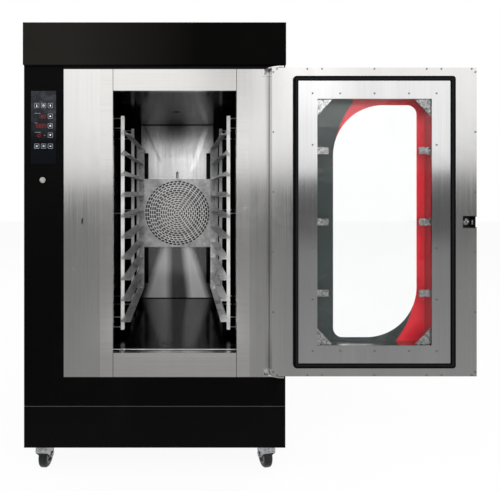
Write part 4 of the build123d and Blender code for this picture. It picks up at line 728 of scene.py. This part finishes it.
frontSteelAndStrip = makeFrontSteel()
guardSteel = makeGuardSteel()
rackSteel = makeRackSteel()
ceilingSteel = makeCeilingSteel()
wallSteel = makeWallSteel()
floorSteel = makeFloorSteel()
baffleSteel = makeBaffleSteel()
mineralWool = makeWool()
gasketRubber = makeGasket()
windowPrint = makePrint()
windowPane = makePane()
controlGlass = makeControlGlass()
circuitBoard = makeBoard()
bearingBronze = makeBronze()
grayMark = makeMarking("grayMark", (0.36, 0.40, 0.46, 1), (0.24, 0.27, 0.32, 1))
# The white key signs carry a painted glow, though they are print and give no light.
whiteMark = makeMarking("whiteMark", (0.86, 0.88, 0.90, 1), (0.66, 0.69, 0.72, 1), 0.3)
redMark = makeMarking("redMark", (0.22, 0.008, 0.016, 1), (0.12, 0.004, 0.008, 1), 0.35)
print("finishes made")

finishes = {
    frontSteelAndStrip: ["front_frame"],
    doorSteel: ["door_skin", "door_inner_panel"],
    windowFrameSteel: ["window_frame"],
    wallSteel: ["cavity_left_wall", "cavity_right_wall"],
    ceilingSteel: ["cavity_ceiling"],
    rearShadeSteel: ["cavity_rear_wall"],
    baffleSteel: ["fan_panel"],
    impellerShadeSteel: ["impeller"],
    floorSteel: ["cavity_floor"],
    rackSteel: ["left_tray_rack", "right_tray_rack"],
    guardSteel: ["fan_guard"],
    pipeSteel: ["vent_pipe"],
    injectorSteel: ["water_injector"],
    clipSteel: ["glass_clips"],
    screwSteel: ["door_screws"],
    hingeSteel: ["hinge_brackets"],
    tubeSteel: ["chassis_frame"],
    heaterSheath: ["heating_elements"],
    handleChrome: ["door_handle"],
    turnedSteel: ["button_bezel", "power_button"],
    blackCoat: ["control_column", "right_column", "lower_front_panel"],
    sideCoat: ["left_side_panel", "right_side_panel", "rear_panel", "roof_panel"],
    skirtCoat: ["skirt"],
    headerCoat: ["header_fascia"],
    latchPlastic: ["latch_box"],
    motorPaint: ["fan_motor"],
    mineralWool: ["insulation"],
    gasketRubber: ["door_gasket"],
    windowPrint: ["glass_print"],
    windowPane: ["door_glass"],
    controlGlass: ["control_glass"] + [name for name in nodes if name.startswith("key_")],
    circuitBoard: ["control_board"],
    bearingBronze: ["hinge_bushes"],
    zincPlate: ["caster_plates"] + [name for name in nodes if name.endswith("_fork")],
}
for name in [name for name in nodes if name.endswith("_wheel")]:
    finishes[makeWheel(name + "Finish", name)] = [name]
for finish, names in finishes.items():
    for name in names:
        nodes[name].data.materials.clear()
        nodes[name].data.materials.append(finish)


# New pieces: flat shapes drawn across and up, raised a little off the face they sit on

def roundedSquare(half, radius, steps=4):
    points = []
    for quarter in range(4):
        turn = math.pi / 2 * quarter
        sideX, sideZ = [(1, 1), (-1, 1), (-1, -1), (1, -1)][quarter]
        for step in range(steps + 1):
            angle = turn + math.pi / 2 * step / steps
            x = sideX * (half - radius) + radius * math.cos(angle)
            z = sideZ * (half - radius) + radius * math.sin(angle)
            points.append((x, z))
    return points


def circle(radius, count=20, x=0.0, z=0.0):
    angles = [math.tau * k / count for k in range(count)]
    return [(x + radius * math.cos(angle), z + radius * math.sin(angle)) for angle in angles]


def bar(left, right, low, high):
    return [(left, low), (right, low), (right, high), (left, high)]


def addPlate(bm, points, place, thick):
    x, y, z = place
    verts = [bm.verts.new((x + px, y, z + pz)) for px, pz in points]
    raiseFaces(bm, [bm.faces.new(verts)], thick)


def addRing(bm, outer, inner, place, thick):
    x, y, z = place
    outside = [bm.verts.new((x + px, y, z + pz)) for px, pz in outer]
    inside = [bm.verts.new((x + px, y, z + pz)) for px, pz in inner]
    faces = []
    for k in range(len(outer)):
        after = (k + 1) % len(outer)
        faces.append(bm.faces.new([outside[k], outside[after], inside[after], inside[k]]))
    raiseFaces(bm, faces, thick)


def raiseFaces(bm, faces, thick):
    raised = bmesh.ops.extrude_face_region(bm, geom=faces)
    verts = [item for item in raised["geom"] if isinstance(item, bmesh.types.BMVert)]
    bmesh.ops.translate(bm, vec=(0, -thick, 0), verts=verts)


def newObject(name, bm, finish):
    mesh = bpy.data.meshes.new(name)
    bm.to_mesh(mesh)
    bm.free()
    mesh.materials.append(finish)
    made = bpy.data.objects.new(name, mesh)
    bpy.context.scene.collection.objects.link(made)
    return made


def newPiece(name, bm, finish, body):
    bmesh.ops.recalc_face_normals(bm, faces=bm.faces)
    piece = newObject(name, bm, finish)
    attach(piece, body)
    return piece


def inMillimetres(points):
    return [(x * 0.001, z * 0.001) for x, z in points]


# The window print, held a hair off the pane and the sheet that it lies between.

inkShare = 0.6  # share of its thickness that stays
bm = bmesh.new()
bm.from_mesh(nodes["glass_print"].data)
bm.transform(nodes["glass_print"].matrix_world)
inkMiddle = middleOf("glass_print").y
for vert in bm.verts:
    vert.co.y = inkMiddle + (vert.co.y - inkMiddle) * inkShare
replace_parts(newPiece("windowInk", bm, windowPrint, "door"), "glass_print")

# Each key carries a printed outline and a plain sign.

keyMarks = {"half": 9.6, "corner": 2.4, "line": 1.1, "thick": 0.0001}
blade = [(0.3, 0.5), (1.9, 1.1), (2.6, 2.7), (1.7, 4.0), (0.1, 3.4)]


def turned(points, degrees):
    cos, sin = math.cos(math.radians(degrees)), math.sin(math.radians(degrees))
    return [(x * cos - z * sin, x * sin + z * cos) for x, z in points]


drop = [(0, 4.4), (-1.6, 1.4), (-2.5, -0.8), (-2.2, -2.7), (0, -4.0), (2.2, -2.7), (2.5, -0.8), (1.6, 1.4)]
arrow = [(-4.2, -0.7), (0.4, -0.7), (0.4, -2.8), (4.4, 0), (0.4, 2.8), (0.4, 0.7), (-4.2, 0.7)]
ray = bar(-0.4, 0.4, 3.1, 4.6)
keySigns = {
    "key_top_left": {"plates": [bar(-0.8, 0.8, -0.72, 4.4), circle(2.0, x=0.0, z=-2.7)]},
    "key_top_middle": {"rings": [(4.2, 3.3)], "plates": [bar(-0.4, 0.4, 0.0, 2.5), bar(0.4, 2.2, 0.0, 0.8)]},
    "key_top_right": {"plates": [drop]},
    "key_readout_upper": {"plates": [[(-4.2, -2.6), (4.2, -2.6), (0, 3.6)]]},
    "key_readout_middle": {"plates": [turned(blade, angle) for angle in (0, 90, 180, 270)]},
    "key_readout_lower": {"plates": [[(-4.2, 2.6), (0, -3.6), (4.2, 2.6)]]},
    "key_bottom_left": {"plates": [bar(-4, 4, 2.0, 3.0), bar(-4, 4, -0.5, 0.5), bar(-4, 4, -3.0, -2.0)]},
    "key_bottom_middle": {"rings": [(2.6, 1.7)], "plates": [turned(ray, angle) for angle in range(0, 360, 60)]},
    "key_bottom_right": {"plates": [arrow]},
}
for key, sign in keySigns.items():
    middle = middleOf(key)
    place = (middle.x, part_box(key)[0].y, middle.z)
    bm = bmesh.new()
    half, corner, line = keyMarks["half"], keyMarks["corner"], keyMarks["line"]
    inner = inMillimetres(roundedSquare(half - line, corner - line))
    addRing(bm, inMillimetres(roundedSquare(half, corner)), inner, place, keyMarks["thick"])
    newPiece(key + "_outline", bm, grayMark, key + "_push")
    bm = bmesh.new()
    for outer, inner in sign.get("rings", []):
        addRing(bm, inMillimetres(circle(outer)), inMillimetres(circle(inner)), place, keyMarks["thick"])
    for points in sign["plates"]:
        addPlate(bm, inMillimetres(points), place, keyMarks["thick"])
    newPiece(key + "_sign", bm, whiteMark, key + "_push")
print("key signs printed")

# Three red readouts of seven-bar figures, with plain rules beside them.

readouts = {
    "figureHeight": 14.0, "figureWidth": 7.6, "pitch": 11.0, "barWidth": 1.7, "lean": 0.10, "gap": 0.35,
    "thick": 0.0001,
    "upper": (-6.4, 42.8, "180"), "middle": (-8.4, 6.1, "0025"), "lower": (-22.4, -32.7, "10"),
    "rules": [(-35.4, -10.4, 55.3), (-35.4, -25.4, 16.9), (-35.4, -10.4, -20.7)], "ruleHeight": 1.1,
    "dot": (4.6, -31.9, 1.3),
}
lit = {"0": "abcdef", "1": "bc", "2": "abged", "5": "afgcd", "8": "abcdefg"}


def figureBars(figure):
    # Hexagon bars of one figure about its middle.
    high, wide, thin, gap = (readouts[key] for key in ("figureHeight", "figureWidth", "barWidth", "gap"))
    right, top = (wide - thin) / 2, (high - thin) / 2
    ends = {
        "a": ((-right, top), (right, top)), "b": ((right, top), (right, 0)),
        "c": ((right, 0), (right, -top)), "d": ((-right, -top), (right, -top)),
        "e": ((-right, 0), (-right, -top)), "f": ((-right, top), (-right, 0)),
        "g": ((-right, 0), (right, 0)),
    }
    bars = []
    for letter in lit[figure]:
        (x1, z1), (x2, z2) = ends[letter]
        length = math.hypot(x2 - x1, z2 - z1)
        ux, uz = (x2 - x1) / length, (z2 - z1) / length
        near, far = gap + thin / 2, length - gap - thin / 2
        outline = []
        for along, aside in ((gap, 0), (near, 1), (far, 1), (length - gap, 0), (far, -1), (near, -1)):
            x = x1 + ux * along - uz * aside * thin / 2
            z = z1 + uz * along + ux * aside * thin / 2
            outline.append((x + z * readouts["lean"], z))
        bars.append(outline)
    return bars


glassMiddle = middleOf("control_glass")
glassFace = (glassMiddle.x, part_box("control_glass")[0].y, glassMiddle.z)
for label in ("upper", "middle", "lower"):
    middleX, middleZ, figures = readouts[label]
    bm = bmesh.new()
    for index, figure in enumerate(figures):
        shift = middleX + (index - (len(figures) - 1) / 2) * readouts["pitch"]
        for outline in figureBars(figure):
            shifted = [(x + shift, z + middleZ) for x, z in outline]
            addPlate(bm, inMillimetres(shifted), glassFace, readouts["thick"])
    newPiece(label + "Readout", bm, redMark, "oven_body")
bm = bmesh.new()
for left, right, height in readouts["rules"]:
    rule = bar(left, right, height, height + readouts["ruleHeight"])
    addPlate(bm, inMillimetres(rule), glassFace, readouts["thick"])
dotX, dotZ, dotRadius = readouts["dot"]
addPlate(bm, inMillimetres(circle(dotRadius, 16, dotX, dotZ)), glassFace, readouts["thick"])
newPiece("readoutRules", bm, grayMark, "oven_body")
print("readouts printed")

# Rings round the sockets of the door's screws.

sockets = {
    "frameRows": 6, "frameAside": 0.2396, "frameEnd": 0.049, "frameAcross": (-0.133, 0.0, 0.133),
    "frameShift": 0.0005, "headHeight": 0.002, "edgeRows": 6, "edgeInset": 0.0054, "edgeEnd": 0.0175,
    "edgeAcross": (-0.3775, -0.260, -0.203, 0.0, 0.203, 0.260, 0.3775),
    "head": 0.0024, "socket": 0.0013, "thick": 0.00012,
}


def evenly(low, high, count):
    return [low + (high - low) * k / (count - 1) for k in range(count)]


frameLow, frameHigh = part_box("window_frame")
doorLow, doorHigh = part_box("door_inner_panel")
frameMiddle, doorMiddle = (frameLow + frameHigh) / 2, (doorLow + doorHigh) / 2
frameEnd = sockets["frameEnd"] - sockets["frameShift"]
frameZ = evenly(frameLow.z + frameEnd, frameHigh.z - frameEnd, sockets["frameRows"])
edgeZ = evenly(doorLow.z + sockets["edgeEnd"], doorHigh.z - sockets["edgeEnd"], sockets["edgeRows"])
frameHead, edgeHead = frameLow.y - sockets["headHeight"], doorLow.y - sockets["headHeight"]
places = [(frameMiddle.x + side * sockets["frameAside"], frameHead, z) for side in (-1, 1) for z in frameZ]
places += [(frameMiddle.x + x, frameHead, z) for x in sockets["frameAcross"] for z in (frameZ[0], frameZ[-1])]
edgeEnds = (doorLow.z + sockets["edgeInset"], doorHigh.z - sockets["edgeInset"])
places += [(doorMiddle.x + x, edgeHead, z) for x in sockets["edgeAcross"] for z in edgeEnds]
edgeSides = (doorLow.x + sockets["edgeInset"], doorHigh.x - sockets["edgeInset"])
places += [(x, edgeHead, z) for x in edgeSides for z in edgeZ]
bm = bmesh.new()
outer, inner = circle(sockets["head"], 12), circle(sockets["socket"], 12)
for place in places:
    addRing(bm, outer, inner, place, sockets["thick"])
newPiece("screwSocketRims", bm, clipSteel, "door")
print("screw sockets cut:", len(places))

# Dark rings round the sockets of the screws that hold the hinge brackets: painted shade that makes the screw
# holes read dark.

bracketScrews = {
    "across": (0.362, 0.381), "belowTop": 0.01674, "aboveFoot": 0.01026, "stand": 0.0045,
    "head": 0.0048, "socket": 0.0024, "thick": 0.0003,
}
bracketLow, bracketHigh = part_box("hinge_brackets")
outer, inner = circle(bracketScrews["head"], 16), circle(bracketScrews["socket"], 16)
bm = bmesh.new()
for z in (bracketHigh.z - bracketScrews["belowTop"], bracketLow.z + bracketScrews["aboveFoot"]):
    for x in bracketScrews["across"]:
        place = (cavityX + x, frontY - bracketScrews["stand"], z)
        addRing(bm, outer, inner, place, bracketScrews["thick"])
newPiece("bracketScrewRims", bm, rearShadeSteel, "oven_body")
print("bracket screws cut")

# Pan-head screws round the rear panel.

rearScrews = {
    "inset": 0.018, "across": 5, "upward": 6, "radius": 0.0042, "height": 0.0022, "socket": 0.0016,
    "face": 0.6486,
}
outer, inner = circle(rearScrews["radius"], 14), circle(rearScrews["socket"], 14)
bm = bmesh.new()
panelLow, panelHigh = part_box("rear_panel")
inset, depth = rearScrews["inset"], rearScrews["height"]
rearX = evenly(panelLow.x + inset, panelHigh.x - inset, rearScrews["across"])
rearZ = evenly(panelLow.z + inset, panelHigh.z - inset, rearScrews["upward"])
spots = [(x, z) for x in rearX for z in (rearZ[0], rearZ[-1])]
spots += [(x, z) for x in (rearX[0], rearX[-1]) for z in rearZ[1:-1]]
for x, z in spots:
    addRing(bm, outer, inner, (x, rearScrews["face"], z), -depth)
    addPlate(bm, inner, (x, rearScrews["face"], z), -depth * 0.3)
rims = [edge for edge in bm.edges if all(vert.co.y > rearScrews["face"] + depth * 0.9 for vert in edge.verts)]
bmesh.ops.bevel(bm, geom=rims, offset=depth * 0.3, affect="EDGES", segments=2, profile=0.5, material=-1)
newPiece("rearScrews", bm, screwSteel, "oven_body")
print("rear screws set:", len(spots))


# Floor, studio cards and lamps

studio = {
    "floorSize": 14.0, "floorColor": 0.90, "floorSeen": 0.93, "white": 1.0, "fill": 0.55,
    "softboxZ": (1.29, 4.5), "softboxY": -4.6, "softboxHalfWidth": 6.5, "softboxSlant": 0.04,
    "softboxLevels": (1.35, 1.62, 1.76), "softboxRamps": (0.5, 2.3, 3.4),
    "softboxPatches": [(0.75, 0.25, 0.35, 2.0, 0.35), (1.75, 0.2, 0.4, 2.0, -0.25)],
    "cardTop": 1.8, "cardY": -4.65, "cardHalfWidth": 6.5, "cardLevels": (0.39, 0.24),
    "cardBand": {"height": 0.85, "half": 0.25, "soft": 0.2, "fromX": 0.9, "level": 0.17},
    "floorLevels": (0.36, 0.46), "floorPatch": (-0.05, 0.4, 0.25, -4.1, -2.2, 1.9), "floorStop": 0.45,
    "floorCardZ": 0.004, "leftShade": (-1.4, 0.6, 0.86),
}
lamps = {
    "frontLamp": ((0.0, -4.2, 3.0), (0.1, -0.5, 1.0), 5.0, 2.2, 140),
    "leftLamp": ((-3.6, -1.5, 3.0), (0.0, 0.0, 0.9), 2.2, 2.2, 45),
    "rightLamp": ((4.0, -1.0, 3.0), (0.2, 0.0, 0.9), 2.2, 2.2, 45),
    "backLamp": ((0.4, 4.2, 3.4), (0.0, 0.5, 0.9), 3.6, 2.2, 70),
}


def startPlain(name):
    material = bpy.data.materials.new(name)
    material.use_nodes = True
    tree = material.node_tree
    tree.nodes.clear()
    return material, tree, tree.nodes.new("ShaderNodeOutputMaterial").inputs[0]


def seenDirectly(tree):
    path = tree.nodes.new("ShaderNodeLightPath").outputs
    direct = larger(tree, path["Is Camera Ray"], path["Is Glossy Ray"])
    return larger(tree, direct, path["Is Transmission Ray"])


def makeBackground():
    # The background is white to the camera and in metal and glass; elsewhere it is a soft grey fill.
    world = bpy.data.worlds.new("studioWorld")
    world.use_nodes = True
    tree = world.node_tree
    tree.nodes.clear()
    color = mixColors(tree, seenDirectly(tree), gray(studio["fill"]), gray(studio["white"]))
    shade = addNode(tree, "ShaderNodeBackground", {"Color": color})
    output = tree.nodes.new("ShaderNodeOutputWorld")
    tree.links.new(shade.outputs[0], output.inputs[0])
    bpy.context.scene.world = world


def makeFloor():
    bm = bmesh.new()
    bmesh.ops.create_grid(bm, x_segments=1, y_segments=1, size=studio["floorSize"])
    material, tree, surface = startPlain("studioFloor")
    plain = addNode(tree, "ShaderNodeBsdfDiffuse", {"Color": gray(studio["floorColor"])})
    white = addNode(tree, "ShaderNodeEmission", {"Color": gray(studio["white"])})
    mix = tree.nodes.new("ShaderNodeMixShader")
    tree.links.new(times(tree, seenDirectly(tree), studio["floorSeen"]), mix.inputs[0])
    tree.links.new(plain.outputs[0], mix.inputs[1])
    tree.links.new(white.outputs[0], mix.inputs[2])
    tree.links.new(mix.outputs[0], surface)
    newObject("studioFloor", bm, material)


def softboxShade(tree, place):
    # Brighter towards the top, with a softly darker patch and a brighter one.
    across, _, height = coordinates(tree, place)
    across = minus(tree, across, cavityX)
    low = studio["softboxZ"][0]
    dim, plain, bright = studio["softboxLevels"]
    ramp, start, end = studio["softboxRamps"]
    glow = spread(tree, height, low, low + ramp, dim, plain)
    glow = doMath(tree, "ADD", glow, spread(tree, height, start, end, 0.0, bright - plain))
    for centre, half, soft, above, amount in studio["softboxPatches"]:
        upper = spread(tree, height, above, above + 0.5)
        patch = times(tree, softBand(tree, across, centre, half, soft), upper, amount)
        glow = times(tree, glow, inverse(tree, patch))
    return glow


def leftShade(tree, across):
    # The room is a little darker towards the left.
    low, high, darker = studio["leftShade"]
    return spread(tree, minus(tree, across, cavityX), low, high, darker, 1.0)


def wallShade(tree, place):
    # A dark room band on the door's side.
    across, _, height = coordinates(tree, place)
    band = studio["cardBand"]
    glow = spread(tree, height, 0.0, studio["cardTop"], *studio["cardLevels"])
    aside = spread(tree, minus(tree, across, cavityX), band["fromX"], band["fromX"] + 0.5)
    mask = times(tree, softBand(tree, height, band["height"], band["half"], band["soft"]), aside)
    glow = times(tree, glow, leftShade(tree, across))
    return doMath(tree, "ADD", times(tree, glow, inverse(tree, mask)), times(tree, mask, band["level"]))


def floorShade(tree, place):
    across, away, _ = coordinates(tree, place)
    glow = spread(tree, away, studio["cardY"], frontY - studio["floorStop"], *studio["floorLevels"])
    centre, half, soft, far, near, gain = studio["floorPatch"]
    patch = softBand(tree, minus(tree, across, cavityX), centre, half, soft)
    patch = times(tree, patch, softBand(tree, away, (far + near) / 2, (near - far) / 2, 0.2))
    return times(tree, glow, leftShade(tree, across), spread(tree, patch, 0.0, 1.0, 1.0, gain))


def makeCard(name, corners, shading):
    # Studio card out of the picture, seen only in polished surfaces.
    bm = bmesh.new()
    bm.faces.new([bm.verts.new(corner) for corner in corners])
    material, tree, surface = startPlain(name)
    place = tree.nodes.new("ShaderNodeTexCoord").outputs["Object"]
    glow = addNode(tree, "ShaderNodeEmission", {"Strength": shading(tree, place)})
    tree.links.new(glow.outputs[0], surface)
    card = newObject(name, bm, material)
    card.visible_camera = False
    card.visible_diffuse = False
    card.visible_shadow = False
    card.visible_transmission = False


def makeUprightCard(name, halfWidth, y, low, high, shading, slant=0.0):
    # The slant lifts the lower edge towards the door's side.
    rise = slant * halfWidth
    lower = [(-halfWidth, y, low - rise), (halfWidth, y, low + rise)]
    makeCard(name, lower + [(halfWidth, y, high), (-halfWidth, y, high)], shading)


def makeLamp(name, place, target, width, height, power):
    light = bpy.data.lights.new(name, "AREA")
    light.shape = "RECTANGLE"
    light.size = width
    light.size_y = height
    light.energy = power
    lamp = bpy.data.objects.new(name, light)
    lamp.location = place
    lamp.rotation_euler = (Vector(target) - Vector(place)).to_track_quat("-Z", "Y").to_euler()
    lamp.visible_glossy = False
    bpy.context.scene.collection.objects.link(lamp)


makeBackground()
makeFloor()
halfWidth, cardY = studio["cardHalfWidth"], studio["cardY"]
makeUprightCard("wallCard", halfWidth, cardY, 0.0, studio["cardTop"], wallShade)
makeUprightCard(
    "softboxCard", studio["softboxHalfWidth"], studio["softboxY"], *studio["softboxZ"], softboxShade,
    studio["softboxSlant"]
)
stopY, cardZ = frontY - studio["floorStop"], studio["floorCardZ"]
floorCorners = bar(-halfWidth, halfWidth, cardY, stopY)
makeCard("floorCard", [(x, y, cardZ) for x, y in floorCorners], floorShade)
for name, lamp in lamps.items():
    makeLamp(name, *lamp)
print("studio lit")
